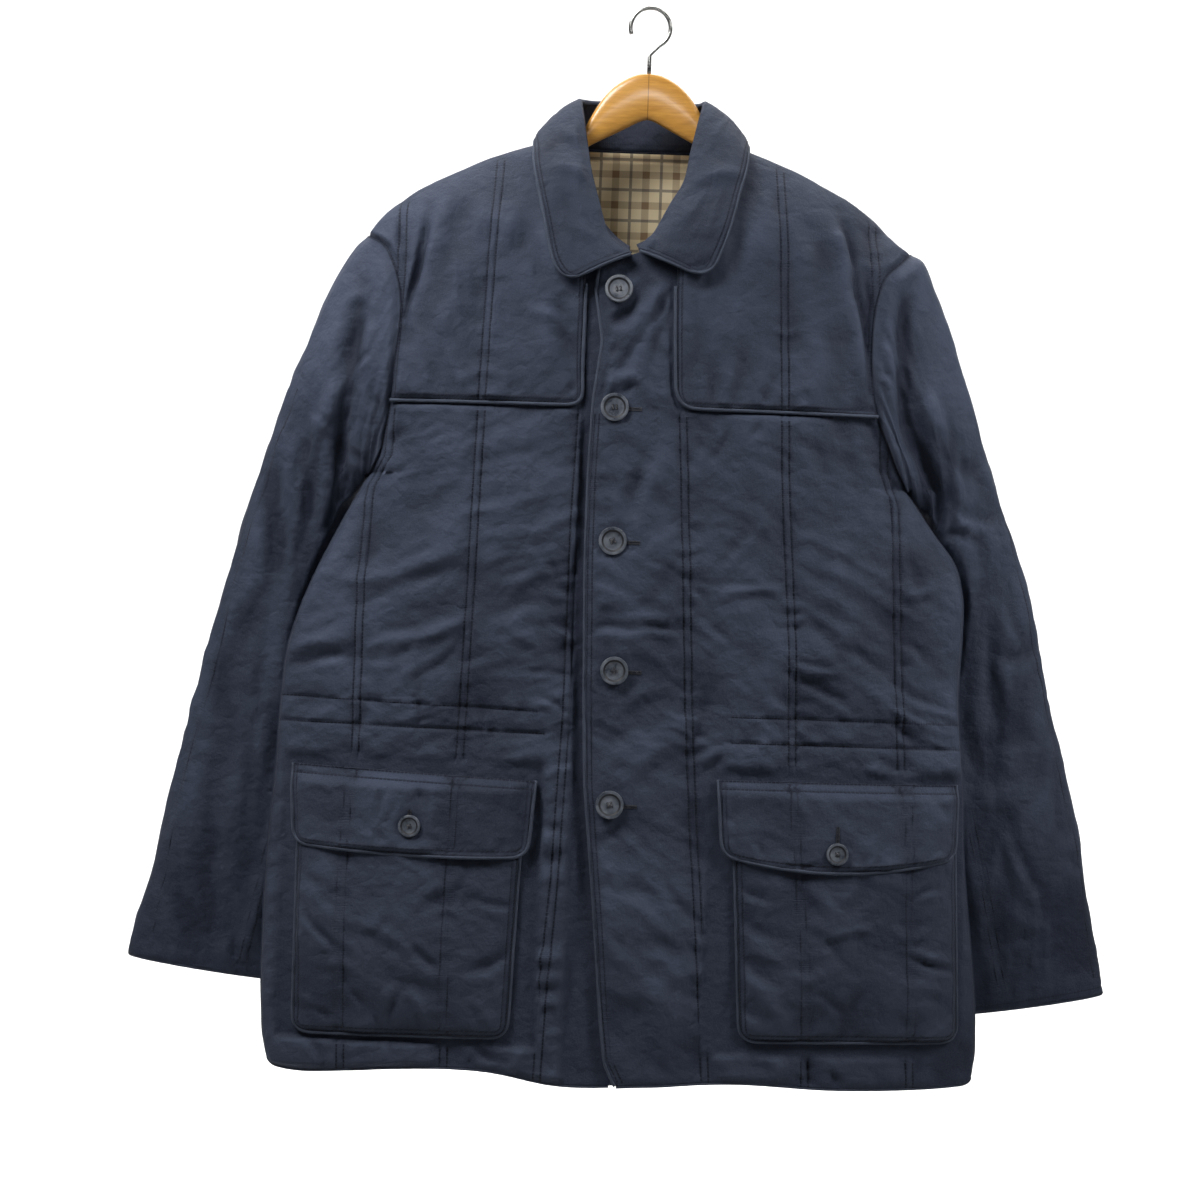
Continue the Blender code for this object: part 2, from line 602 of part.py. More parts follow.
def front_edge_line(front):
    """A line just outside the free edge of the buttoned-over front, below the collar."""
    points, normals = front[2], front[3]
    start = LEVELS.index(219)
    line = points[start:, -1] - normals[start:, -1] * WALL / 2
    run = unit(np.gradient(line, axis=0))
    beside = unit(np.cross(normals[start:, -1], run))
    beside = beside * np.sign(-beside[:, :1])
    line = line + beside * (CORD_RADIUS + SEAM_GAP)
    line[0] += (line[1] - line[0]) * 0.35
    return line


# ---- storm flaps, pockets and flaps ---------------------------------------------------
def build_storm_flap(side, front, finish):
    """The flap is cut from the front's own points, down to its bottom row, moved out."""
    name = "right_storm_flap" if side == 1 else "left_storm_flap"
    x, down, points, normals = front
    bottom = LEVELS.index(STORM_FLAP_ROW)
    part = (slice(1, bottom + 1), slice(0, FIRST_ROW_COLUMN + 1))
    x, down, points, normals = x[part], down[part], points[part].copy(), normals[part].copy()
    inwards = 1.0 if side == 1 else -1.0
    points[-1, -1] += np.array([-inwards, 0, 1]) * FLAP_CORNER
    rows = (RIGHT_ROWS if side == 1 else LEFT_ROWS)[1:]
    puff = quilting(x, down, rows, side)
    puff[-1] = puff[:, -1] = puff[:, 0] = 0
    puff[down < 236] *= 0.3
    lifted = surface_normals(front_y if side == 1 else left_front_y, x, down, -1)
    mix = np.ones(x.shape[1])
    mix[0] = 0.0
    away = unit(normals * mix[:, None] + lifted * (1 - mix[:, None]))
    inner = points + away * SEAM_GAP
    thickness = THIN_WALL * ramp(down, 104, 150) * 0.5 + THIN_WALL * 0.5
    outer = points + away * (SEAM_GAP + thickness + puff)[..., None]
    wall(name, outer, inner, finish)
    start = LEVELS.index(236) - 1
    edge = np.vstack([outer[start:, -1], outer[-1, -2::-1]])
    below = np.vstack([points[start:, -1], points[-1, -2::-1]])
    turned = np.vstack([away[start:, -1], away[-1, -2::-1]])
    beside = np.array([[inwards, 0, 0]] * (len(outer) - start - 1) + [[inwards * 0.75, 0, -0.75]]
                      + [[0, 0, -1.0]] * (len(edge) - len(outer) + start))
    path = below + turned * PIPING_LIFT + beside * (CORD_RADIUS + SEAM_GAP)
    path[0] += (path[1] - path[0]) * (0.35 if side == 1 else 0.0)
    path[-1] += (path[-2] - path[-1]) * 0.2
    return path


def corner_inset(v, length):
    """How far in a rounded bottom corner pulls the side at the share v of the height."""
    left = np.clip(length * (1 - v), 0, CORNER)
    return CORNER - np.sqrt(np.clip(CORNER ** 2 - (CORNER - left) ** 2, 0, None))


def patch_points(corners, u, v):
    """x and down on a four-cornered patch with its two bottom corners rounded."""
    (ax, ad), (bx, bd), (cx, cd), (dx, dd) = corners
    length = (cd + dd - ad - bd) / 2
    left = ax + (dx - ax) * v + corner_inset(v, length)
    right = bx + (cx - bx) * v - corner_inset(v, length)
    down = (ad + (bd - ad) * u) * (1 - v) + (dd + (cd - dd) * u) * v
    return left + (right - left) * u, down


def patch_share(corners, x, down):
    """The place on a patch, as shares across and down, of a point of the coat."""
    (ax, ad), (bx, bd), (cx, cd), (dx, dd) = corners
    v = np.clip((down - (ad + bd) / 2) / ((cd + dd - ad - bd) / 2), 0, 1)
    left, right = ax + (dx - ax) * v, bx + (cx - bx) * v
    return np.clip((x - left) / (right - left), 0, 1), v


def patch_border(corners, v, u):
    """A line just outside the two sides and the bottom of a patch."""
    v, u = np.asarray(v), np.asarray(u)
    left = patch_points(corners, np.zeros_like(v), v)
    bottom = patch_points(corners, u[1:-1], np.ones_like(u[1:-1]))
    right = patch_points(corners, np.ones_like(v), v[::-1])
    line = np.array([np.concatenate([left[k], bottom[k], right[k]]) for k in (0, 1)])
    run = np.gradient(line, axis=1)
    run = run / np.hypot(*run)
    reach = CORD_RADIUS + SEAM_GAP
    return line[0] - run[1] * reach, line[1] + run[0] * reach


def pocket_height(corners, x, down):
    """How far a pocket's inner face stands off the front below it."""
    u, v = patch_share(corners, x, down)
    across = (1 - np.abs(2 * u - 1) ** 5) ** 0.7
    along = (1 - v ** 7) ** 0.7
    return 0.9 + POCKET_BULGE * across * along * (0.62 + 0.38 * np.sin(math.pi * (0.25 + 0.6 * v)))


def patch_normals(surface, x, down):
    return surface_normals(surface, np.asarray(x, float), np.asarray(down, float), -1)


POCKET_U = (0, 0.02, 0.07, 0.16, 0.33, 0.5, 0.67, 0.84, 0.93, 0.98, 1)
POCKET_V = (0, 0.12, 0.3, 0.5, 0.7, 0.84, 0.92, 0.955, 0.978, 0.992, 1)
FLAP_U = (0, 0.03, 0.12, 0.32, 0.5, 0.68, 0.88, 0.97, 1)
FLAP_V = (0, 0.1, 0.22, 0.42, 0.65, 0.82, 0.9, 0.96, 1)
FLAP_EASE = 1.8       # between a pocket and the flap over it
FLAP_FOOT = 0.6       # height of the flap's sewn top edge


def build_pocket(side, finish):
    name = "right_pocket" if side == 1 else "left_pocket"
    corners = RIGHT_POCKET if side == 1 else LEFT_POCKET
    surface = front_y if side == 1 else left_front_y
    u, v = np.meshgrid(POCKET_U, POCKET_V)
    x, down = patch_points(corners, u, v)
    normals = patch_normals(surface, x, down)
    points = place(x, surface(x, down), down)
    height = pocket_height(corners, x, down)
    inner = points + normals * height[..., None]
    outer = points + normals * (height + THIN_WALL)[..., None]
    wall(name, outer, inner, finish)
    border_x, border_down = patch_border(corners, POCKET_V[1:], POCKET_U)
    return place(border_x, surface(border_x, border_down), border_down) + patch_normals(
        surface, border_x, border_down) * PIPING_LIFT


def flap_height(side, x, down):
    """How far a pocket flap's inner face stands off the front."""
    corners = RIGHT_FLAP if side == 1 else LEFT_FLAP
    pocket = RIGHT_POCKET if side == 1 else LEFT_POCKET
    v = patch_share(corners, x, down)[1]
    over_pocket = pocket_height(pocket, x, down) + THIN_WALL + FLAP_EASE
    return FLAP_FOOT + (over_pocket - FLAP_FOOT) * ramp(v, 0, 0.22)


def build_flap(side, finish):
    name = "right_pocket_flap" if side == 1 else "left_pocket_flap"
    corners = RIGHT_FLAP if side == 1 else LEFT_FLAP
    surface = front_y if side == 1 else left_front_y
    u, v = np.meshgrid(FLAP_U, FLAP_V)
    x, down = patch_points(corners, u, v)
    normals = patch_normals(surface, x, down)
    points = place(x, surface(x, down), down)
    height = flap_height(side, x, down)
    inner = points + normals * height[..., None]
    outer = points + normals * (height + THIN_WALL)[..., None]
    wall(name, outer, inner, finish)
    border_x, border_down = patch_border(corners, FLAP_V[1:], FLAP_U)
    lift = flap_height(side, border_x, border_down) + THIN_WALL / 2
    return place(border_x, surface(border_x, border_down), border_down) + patch_normals(
        surface, border_x, border_down) * lift[:, None]


# ---- collar and lining ------------------------------------------------------------------
def collar_grid():
    """Stations from the sewn edge up the stand, over the fold and down the leaf."""
    table = np.asarray(COLLAR, float)
    sewn = place(table[:, 0], table[:, 2], table[:, 1])
    fold = place(table[:, 3], table[:, 5], table[:, 4])
    edge = place(table[:, 6], table[:, 8], table[:, 7])
    fall = edge - fold
    run = np.gradient(fold, axis=0)
    out = unit(np.cross(fall, run))
    out = out * np.sign(np.sum(out * (edge - np.array([-5, 0, -150]))
                               * np.array([1, 1, 0.2]), axis=1))[:, None]
    down_leaf = unit(fall)
    edge = edge - down_leaf * (2 * CORD_RADIUS + SEAM_GAP)
    from_end = np.minimum(np.arange(len(table)), np.arange(len(table))[::-1])
    roll = (END_ROLL + (COLLAR_ROLL - END_ROLL) * ramp(from_end.astype(float), 1, 4))[:, None]
    fold = fold + down_leaf * roll * 0.7
    fall = edge - fold
    stand_top = fold - out * 2 * roll
    stations = [sewn, sewn + (stand_top - sewn) * 0.5]
    for turn in (180, 135, 90, 45, 0):
        across, up = math.cos(math.radians(turn)), math.sin(math.radians(turn))
        stations.append(fold + out * roll * (across - 1) - down_leaf * roll * up)
    for share in (0.09, 0.25, 0.45, 0.65, 0.84, 1.0):
        rise = COLLAR_BULGE * (4 * share * (1 - share)) ** 0.8
        stations.append(fold + fall * share + out * rise)
    return np.stack(stations, axis=0), out


def build_collar(finish):
    grid, out = collar_grid()
    normals = grid_normals(grid)
    if np.sum(normals[FOLD_STATION + 3] * out) < 0:
        normals = -normals
    wall("collar", grid, grid - normals * COLLAR_WALL, finish)
    middle = grid - normals * COLLAR_WALL / 2
    reach = CORD_RADIUS + 2 * SEAM_GAP
    fold, edge = FOLD_STATION, len(grid) - 1
    first_side = unit(middle[:, 0] - middle[:, 1])
    last_side = unit(middle[:, -1] - middle[:, -2])
    fall = unit(middle[edge] - middle[edge - 1])
    path = [middle[k, 0] + first_side[k] * reach for k in range(fold, edge)]
    path.append(middle[edge, 0] + (first_side[edge] + fall[0]) * reach * 0.9)
    path += [middle[edge, k] + fall[k] * reach for k in range(1, middle.shape[1] - 1)]
    path.append(middle[edge, -1] + (last_side[edge] + fall[-1]) * reach * 0.9)
    path += [middle[k, -1] + last_side[k] * reach for k in range(edge - 1, fold - 1, -1)]
    return path


def build_lining(finish):
    """The inside of the back, only where it shows in the neck opening."""
    u, v = np.meshgrid(np.linspace(-1, 1, 9), np.linspace(0, 1, 7))
    down = 122 + v * 150
    x = -4 + u * (50 + 62 * v ** 0.8)
    normals = surface_normals(back_y, x, down, 1)
    points = place(x, back_y(x, down), down) - normals * (WALL + LINING_EASE)
    wall("back_lining", points, points - normals * 1.0, finish)


# ---- buttons ----------------------------------------------------------------------------
# radius and height of each ring, as shares, from the middle over the rim to the underside
BUTTON_PROFILE = ((0.30, 0.45), (0.62, 0.60), (0.80, 1.0), (0.93, 0.95), (1.0, 0.55), (0.92, 0.0))
BUTTON_SIDES = 16
BUTTON_FOOT = 0.35    # share of the thickness that is solid under the dish


def build_button(name, centre, normal, diameter, finish):
    """A turned disc with a raised rim, lying on the cloth."""
    normal = np.asarray(normal, float) / np.linalg.norm(normal)
    right = np.cross((0, 0, 1), normal)
    right = right / np.linalg.norm(right)
    up = np.cross(normal, right)
    points, faces = [], []
    for radius, height in BUTTON_PROFILE:
        stand = SEAM_GAP
        if height > 0:
            stand += BUTTON_THICKNESS * (BUTTON_FOOT + (1 - BUTTON_FOOT) * height)
        for k in range(BUTTON_SIDES):
            turn = 2 * math.pi * k / BUTTON_SIDES
            spoke = math.cos(turn) * right + math.sin(turn) * up
            points.append(np.asarray(centre) + normal * stand + spoke * radius * diameter / 2)
    for r in range(len(BUTTON_PROFILE) - 1):
        for k in range(BUTTON_SIDES):
            n = (k + 1) % BUTTON_SIDES
            faces.append((r * BUTTON_SIDES + k, r * BUTTON_SIDES + n,
                          (r + 1) * BUTTON_SIDES + n, (r + 1) * BUTTON_SIDES + k))
    faces.append(tuple(range(BUTTON_SIDES)))
    faces.append(tuple((len(BUTTON_PROFILE) - 1) * BUTTON_SIDES + k for k in range(BUTTON_SIDES)))
    return add_object(name, points, faces, finish)


def on_front(x, down, height, side=2):
    """A place above a front, and the direction the front faces there."""
    surface = front_y if side == 1 else left_front_y
    x, down = np.array([float(x)]), np.array([float(down)])
    normal = surface_normals(surface, x, down, -1)[0]
    return place(x, surface(x, down), down)[0] + normal * height, normal


# ---- hanger -----------------------------------------------------------------------------
def build_wood(finish):
    """A contoured wooden arm: rounded sections along the table's stations."""
    turns = np.linspace(0, 2 * math.pi, 12, endpoint=False)
    half = np.asarray(WOOD, float)
    table = np.vstack([half[:0:-1] * (-1, 1, 1), half])
    rings = []
    for x, top, bottom in table:
        middle, half = (top + bottom) / 2, (bottom - top) / 2
        thick = WOOD_THICKNESS / 2 * (1 - 0.25 * (abs(x) / table[-1, 0]) ** 4)
        c, s = np.cos(turns), np.sin(turns)
        y = thick * np.sign(s) * np.abs(s) ** 0.6
        z = -(middle + half * np.sign(c) * np.abs(c) ** 0.75)
        rings.append(np.stack([np.full_like(y, x), y, z], axis=1))
    points = np.vstack(rings)
    sides = len(turns)
    faces = []
    for r in range(len(rings) - 1):
        for s in range(sides):
            t = (s + 1) % sides
            faces.append((r * sides + s, r * sides + t, (r + 1) * sides + t, (r + 1) * sides + s))
    faces.append(tuple(range(sides)))
    faces.append(tuple((len(rings) - 1) * sides + s for s in range(sides)))
    return add_object("wooden_hanger", points, faces, finish)


def hook_path():
    """Straight up out of the wood, then round the crook about a rod's place."""
    radius = HOOK_INSIDE + HOOK_WIRE / 2
    centre_down = HOOK_INSIDE
    start_turn, end_turn = math.radians(-62), math.radians(200)
    points = [(0, 0, -(WOOD[0][1] - 0.4)), (0, 0, -(WOOD[0][1] - 8)), (0, 0, -(centre_down + radius + 6))]
    leaving = (radius * math.cos(start_turn), -centre_down + radius * math.sin(start_turn))
    points.append((leaving[0] * 0.42, 0, leaving[1] - 4.6))
    for k in range(15):
        turn = start_turn + (end_turn - start_turn) * k / 14
        points.append((radius * math.cos(turn), 0, -centre_down + radius * math.sin(turn)))
    return points


# ---- everything -------------------------------------------------------------------------
def main():
    for old in list(bpy.data.objects):
        bpy.data.objects.remove(old)
    navy = material("navy_cloth", NAVY, 0.8)
    piping = material("navy_piping", DARK_NAVY, 0.75)
    lining = material("checked_lining", CREAM, 0.7)
    horn = material("dark_button", HORN, 0.3)
    wood = material("varnished_wood", AMBER, 0.35)
    steel = material("hook_steel", STEEL, 0.25, 1.0)

    right_front = build_front(1, navy)
    left_front = build_front(2, navy)
    back = build_back(navy)
    build_sleeve(1, right_front, back, navy)
    build_sleeve(2, left_front, back, navy)
    cords = {
        "right_storm_flap_piping": build_storm_flap(1, right_front, navy),
        "left_storm_flap_piping": build_storm_flap(2, left_front, navy),
        "right_pocket_piping": build_pocket(1, navy),
        "left_pocket_piping": build_pocket(2, navy),
        "right_pocket_flap_piping": build_flap(1, navy),
        "left_pocket_flap_piping": build_flap(2, navy),
        "collar_piping": build_collar(navy),
        "front_piping": front_edge_line(left_front)}
    for name, path in cords.items():
        tube(name, path, CORD_RADIUS, piping, sides=5)
    build_lining(lining)
    build_wood(wood)
    tube("hanger_hook", hook_path(), HOOK_WIRE / 2, steel, sides=8)

    for number, (x, down) in enumerate(FRONT_BUTTONS, start=1):
        build_button("front_button_%d" % number, *on_front(x, down, PUFF + BUTTON_LIFT), FRONT_BUTTON, horn)
    for side, name, x, down in FLAP_BUTTONS:
        height = float(flap_height(side, np.array([x]), np.array([down]))[0]) + THIN_WALL
        build_button(name, *on_front(x, down, height + BUTTON_LIFT, side), FLAP_BUTTON, horn)


main()
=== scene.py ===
# %% [markdown]
# # A padded navy car coat on a wooden hanger
# The coat hangs buttoned up on a contoured hanger. Its shell is a thin cotton weave quilted
# onto flat padding, with corded edges. The CAD solids settle where every panel is. This
# lesson gives each of them its quilting, folds, stitching and cloth.

import math

import bmesh
import bpy
import numpy as np
from mathutils import Euler, Matrix, Vector


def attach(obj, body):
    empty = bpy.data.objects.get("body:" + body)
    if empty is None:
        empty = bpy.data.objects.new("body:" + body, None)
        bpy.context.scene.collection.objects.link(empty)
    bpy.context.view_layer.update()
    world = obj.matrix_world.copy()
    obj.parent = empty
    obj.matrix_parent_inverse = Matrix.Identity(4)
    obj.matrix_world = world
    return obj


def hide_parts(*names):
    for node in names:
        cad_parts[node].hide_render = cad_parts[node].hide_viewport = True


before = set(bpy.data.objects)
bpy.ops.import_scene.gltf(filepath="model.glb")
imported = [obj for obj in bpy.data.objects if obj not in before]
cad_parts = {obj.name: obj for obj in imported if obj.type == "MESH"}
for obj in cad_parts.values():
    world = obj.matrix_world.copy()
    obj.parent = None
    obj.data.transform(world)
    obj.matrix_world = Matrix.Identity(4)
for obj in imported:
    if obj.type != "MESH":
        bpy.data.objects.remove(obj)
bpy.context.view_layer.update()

MM = 0.001

# %% [markdown]
# ## The coat's measurements
# A tailor works from a table of measurements, and so does this coat. All of these are in
# millimetres: x runs across (the wearer's right side is negative), "down" is the distance
# below the inside top of the hook, and y runs from front (negative) to back.

# %% Measurements of the body
SHOULDER = [
    (111, -79, 71), (115, -86, 77), (120, -98, 89), (128, -124, 112), (143, -156, 145),
    (157, -184, 172), (171, -205, 192), (185, -219, 206), (199, -229.5, 223.5)]
ARMHOLE = [
    (199, -229.5, 223.5), (207, -216, 216), (219, -208, 203), (236, -202, 196),
    (256, -198.5, 192.5), (280, -199, 191), (306, -201.5, 192), (330, -203, 195.5),
    (342, -204.5, 199), (362, -208, 208), (383, -212.5, 217.5), (397, -221, 226)]
SIDE = [
    (397, -221, 226), (412, -229, 236), (432, -239.5, 250), (456, -251.5, 268),
    (484, -264.5, 276), (514, -276, 277), (546, -285, 276), (575, -288, 276),
    (609, -290, 279), (640, -291, 282), (700, -295.5, 285), (740, -297, 289),
    (780, -297.5, 294), (820, -297.5, 298), (850, -296, 299), (874, -294, 299), (889, -290, 297)]
ROUNDING = [
    (199, -229.5, 223.5), (219, -247, 240), (250, -262, 254), (285, -272, 265),
    (315, -274, 270), (342, -266, 262), (365, -250, 250), (383, -236, 238), (397, -221, 226)]
DEPTH = [
    (98, 2, -13, 34), (120, 2, -21, 40), (150, 2, -33, 43), (185, 1, -45, 45),
    (220, -2, -53, 46), (280, -7, -60, 47), (340, -13, -62, 47), (397, -22, -62, 46),
    (480, -25, -61, 45), (600, -24, -57, 41), (700, -24, -60, 43), (800, -24, -63, 44),
    (895, -24, -64, 44)]
# from here on, key 1 is the wearer's right side and key 2 is the left
FRONT_EDGE = {1: [
    (111, -71.5), (126, -66.5), (150, -58.5), (175, -47.5), (199, -28.5), (212, -12), (219, 2),
    (228, 15), (895, 15)], 2: [
    (111, 63.5), (126, 59.5), (150, 50.5), (175, 35.5), (199, 12.5), (209, 0), (218, -26),
    (223, -35), (242, -37), (284, -30), (333, -36), (399, -38), (464, -38), (579, -35),
    (648, -32), (741, -22), (835, -13), (872, -8), (889, 1)]}
HEM = [
    (-290, 890), (-267, 892), (-218, 889), (-185, 886), (-105, 885), (-49, 894), (26, 892),
    (97, 888), (180, 891), (263, 889), (296, 887)]
HEM_ZONE, HEM_ROUND = 800, 5.0
TOP, HEM_LEVEL, TIP, UNDERARM = 115.0, 889.0, 199.0, 397.0

# %% Measurements of the quilting, pockets and seams
ROWS = {1: [
    [(107, -47), (276, -47), (344, -46), (437, -49), (592, -50), (716, -55), (817, -61), (890, -64)],
    [(107, -119), (216, -124), (342, -128), (485, -132), (640, -137), (775, -142), (890, -141)],
    [(107, -196), (383, -204), (410, -219), (476, -223), (644, -223), (734, -227), (890, -226)]], 2: [
    [(107, 26), (276, 29), (324, 31), (342, 37), (398, 40), (521, 47), (597, 51), (738, 62),
     (809, 68), (890, 74)],
    [(107, 109), (203, 116), (331, 120), (405, 124), (536, 134), (665, 138), (783, 151), (890, 156)],
    [(107, 184), (383, 206), (412, 216), (552, 223), (662, 230), (804, 238), (890, 243)]]}
BACK_ROWS_X = (-226, -132, -44, 44, 132, 226)
STORM_FLAP_ROW, POCKET_TOP_ROW = 337, 640
# four corners, and how far the lower edge bows down in its middle
POCKET = {1: ((-267, 664), (-83, 664), (-90, 857), (-266, 860), 0.0),
          2: ((90, 664), (272, 664), (280, 851), (101, 853), 0.0)}
FLAP = {1: ((-273, 640), (-74, 647), (-78, 709), (-269, 705), 3.0),
        2: ((77, 641), (273, 640), (270, 702), (82, 704), 10.0)}
CORNER = 11.0            # radius of the lower corners
SIDE_WORD = {1: "right", 2: "left"}
WALL, THIN_WALL, COLLAR_WALL = 3.0, 2.4, 2.6
SEAM_GAP, LAP_LIFT, CORD_RADIUS, THIN_CORD = 0.35, 4.8, 1.5, 1.3
# the dark seam line is painted shade, laid in the cloth colour by the material
SEAM_LINE = 0.35         # how the dark line of a set-in seam fades away from it
PUFF, PUFF_RUN = 1.5, 16.0           # how high the padding swells, and within what distance
POCKET_BULGE, FLAP_EASE, FLAP_FOOT = 10.5, 1.8, 0.6
STITCH_HALF = 3.0        # half the distance between the two stitched lines of a row
FAR = 50.0               # a distance that counts as away from every stitched line
# each button's x and down, how far it is turned, and how its thread runs
FRONT_BUTTONS = [
    (-19, 242, 8, False), (-19, 339, 4, False), (-17, 448, 20, True), (-12, 554, 41, True),
    (-12, 664, 12, True)]
FLAP_BUTTONS = [(1, "right_flap_button", -173, 687, 15), (2, "left_flap_button", 173, 698, 0)]

# %% [markdown]
# ## Smooth curves and uneven noise
# Between two rows of a table the cloth runs in a smooth curve, so one helper draws it. Cloth
# is never quite even, so another gives repeatable lumps: the same place always gets the same
# height, because the numbers come from a formula and not from a random generator.

# %% Curves and noise
def smooth(rows, column, at):
    """The table's column at a place, along a smooth curve through its rows."""
    rows = np.asarray(rows, float)
    key, value = rows[:, 0], rows[:, column]
    at = np.clip(np.asarray(at, float), key[0], key[-1])
    slope = np.gradient(value, key)
    k = np.clip(np.searchsorted(key, at, side="right") - 1, 0, len(key) - 2)
    step = key[k + 1] - key[k]
    f = (at - key[k]) / step
    low, high = value[k], value[k + 1]
    ease = f * f * (3 - 2 * f)
    return (low + (high - low) * ease + step * slope[k] * f * (1 - f) ** 2
            - step * slope[k + 1] * f * f * (1 - f))


def straight(rows, at):
    rows = np.asarray(rows, float)
    return np.interp(at, rows[:, 0], rows[:, 1])


def ramp(value, start, end):
    f = np.clip((value - start) / (end - start), 0, 1)
    return f * f * (3 - 2 * f)


def added_up(steps):
    """Distance from the start, after each step."""
    return np.concatenate([[0], np.cumsum(steps)])


def unit(vectors):
    return vectors / np.linalg.norm(vectors, axis=-1, keepdims=True)


def lumps(a, b, seed=0.0):
    """Smooth uneven heights from -1 to 1, one lump to a unit of a and b."""
    a, b = np.broadcast_arrays(np.asarray(a, float), np.asarray(b, float))
    i, j = np.floor(a), np.floor(b)
    f, g = a - i, b - j
    f, g = f * f * (3 - 2 * f), g * g * (3 - 2 * g)

    def corner(di, dj):
        mixed = np.sin((i + di) * 127.1 + (j + dj) * 311.7 + seed * 74.7) * 43758.5453
        return 2 * (mixed - np.floor(mixed)) - 1

    low = corner(0, 0) * (1 - f) + corner(1, 0) * f
    high = corner(0, 1) * (1 - f) + corner(1, 1) * f
    return low * (1 - g) + high * g


print("curve check: shoulder at 150 down is", round(float(smooth(SHOULDER, 1, 150.0)), 1))

# %% [markdown]
# ## The form of the body
# Hanging empty, the coat is a flat tube: deepest along its middle and rounding back towards
# its sides. Beside the armhole the rounding goes on over the sleeve. Large folds belong to
# this form, so that all that lies on a panel, such as a pocket, follows them.

# %% Outline and depth
def outline(down, side):
    down = np.asarray(down, float)
    return np.where(down < TIP, smooth(SHOULDER, side, down),
                    np.where(down < UNDERARM, smooth(ARMHOLE, side, down), smooth(SIDE, side, down)))


def rounding(down, side):
    down = np.asarray(down, float)
    beside_armhole = (down > ROUNDING[0][0]) & (down < ROUNDING[-1][0])
    return np.where(beside_armhole, smooth(ROUNDING, side, down), outline(down, side))


# the half widths once a millimetre, as they are, and evened out over 61 mm
LEVEL_KEYS = np.arange(90.0, 911.0)
HALF_WIDTHS = {1: -rounding(LEVEL_KEYS, 1), 2: rounding(LEVEL_KEYS, 2)}
EVENED = {side: np.convolve(np.pad(widths, 30, mode="edge"), np.ones(61) / 61, mode="valid")
          for side, widths in HALF_WIDTHS.items()}


def roundness(x, down):
    """1 in the middle, 0 at the side; away from the side it changes slowly from level to level."""
    def with_widths(widths):
        right, left = (np.interp(down, LEVEL_KEYS, widths[side]) for side in (1, 2))
        t = np.clip(np.abs(x) / np.where(x < 0, right, left), 0, 1)
        return (1 - t ** 2.6) ** 0.6, t

    own, t = with_widths(HALF_WIDTHS)
    at_side = np.maximum(ramp(t, 0.8, 1.0), 1 - ramp(down, 300, 340))
    return with_widths(EVENED)[0] * (1 - at_side) + own * at_side


# the big soft folds: x and down of both ends, half width, height towards the viewer
FRONT_FOLDS = [
    (-178, 180, -197, 285, 11, -5.0), (-160, 190, -176, 300, 12, 3.0),
    (-66, 262, -46, 336, 9, -3.5), (168, 172, 192, 290, 10, -4.5),
    (150, 200, 166, 300, 12, 3.0), (20, 245, -26, 330, 8, -3.5), (4, 262, -30, 312, 7, 3.0),
    (-240, 500, -190, 470, 12, 3.0), (-262, 560, -205, 545, 10, -3.0),
    (120, 560, 205, 500, 14, 2.5), (-66, 700, -52, 850, 9, 3.5), (-30, 700, -42, 880, 9, -3.0),
    (24, 800, 44, 888, 10, 3.0)]
BACK_FOLDS = [
    (-150, 190, -182, 330, 13, 4.0), (150, 190, 180, 330, 13, 4.0),
    (-60, 520, -110, 580, 14, 3.5), (70, 530, 120, 585, 14, 3.5),
    (-90, 640, -120, 860, 12, 3.5), (95, 640, 130, 860, 12, 3.5), (0, 620, 8, 870, 16, -3.5)]


def folds(table, x, down):
    """Height that soft ridges and troughs add at a place."""
    height = np.zeros(np.broadcast(x, down).shape)
    for x0, down0, x1, down1, half_width, rise in table:
        length2 = (x1 - x0) ** 2 + (down1 - down0) ** 2
        f = np.clip(((x - x0) * (x1 - x0) + (down - down0) * (down1 - down0)) / length2, 0, 1)
        away = np.hypot(x - x0 - f * (x1 - x0), down - down0 - f * (down1 - down0))
        strength = rise * np.sin(math.pi * np.clip(f, 0.06, 0.94))
        height = height + strength * np.exp(-(away / half_width) ** 2)
    return height


def body_y(x, down, column, table, outward):
    """From the side's depth to the middle's, which is a column of DEPTH, with the big folds."""
    x, down = np.asarray(x, float), np.asarray(down, float)
    edge, middle = smooth(DEPTH, 1, down), smooth(DEPTH, column, down)
    gap = SEAM_GAP if outward > 0 else 0.0
    r = roundness(x, down)
    return edge + gap + (middle - edge) * r + outward * folds(table, x, down) * np.minimum(1, 1.6 * r)


def front_y(x, down):
    return body_y(x, down, 2, FRONT_FOLDS, -1)


def back_y(x, down):
    return body_y(x, down, 3, BACK_FOLDS, 1)


def left_front_y(x, down):
    """The buttoned-over front, which lies on the other one near its edge."""
    return front_y(x, down) - LAP_LIFT * (1 - ramp(x, 24, 72))


FRONT_Y = {1: front_y, 2: left_front_y}


def surface_normals(surface, x, down, outward):
    step = 0.6
    slope_x = (surface(x + step, down) - surface(x - step, down)) / (2 * step)
    slope_z = -(surface(x, down + step) - surface(x, down - step)) / (2 * step)
    return unit(np.stack([-slope_x, np.ones_like(slope_x), -slope_z], axis=-1) * outward)


def place(x, y, down):
    """Points in space from the tailor's own three measures."""
    return np.stack([x, y, -np.asarray(down, float)], axis=-1)


print("the coat is", round(float(back_y(0.0, 500.0) - front_y(0.0, 500.0))), "mm deep at the waist")

# %% [markdown]
# ## Creases
# Besides its big folds the cloth has creases, which a photograph shows as thin light and dark
# strokes. Each is one row of a table: where it starts and ends, how far its middle bows to
# one side, how wide it is and how high. A trough runs along its shadow side, as in real cloth.

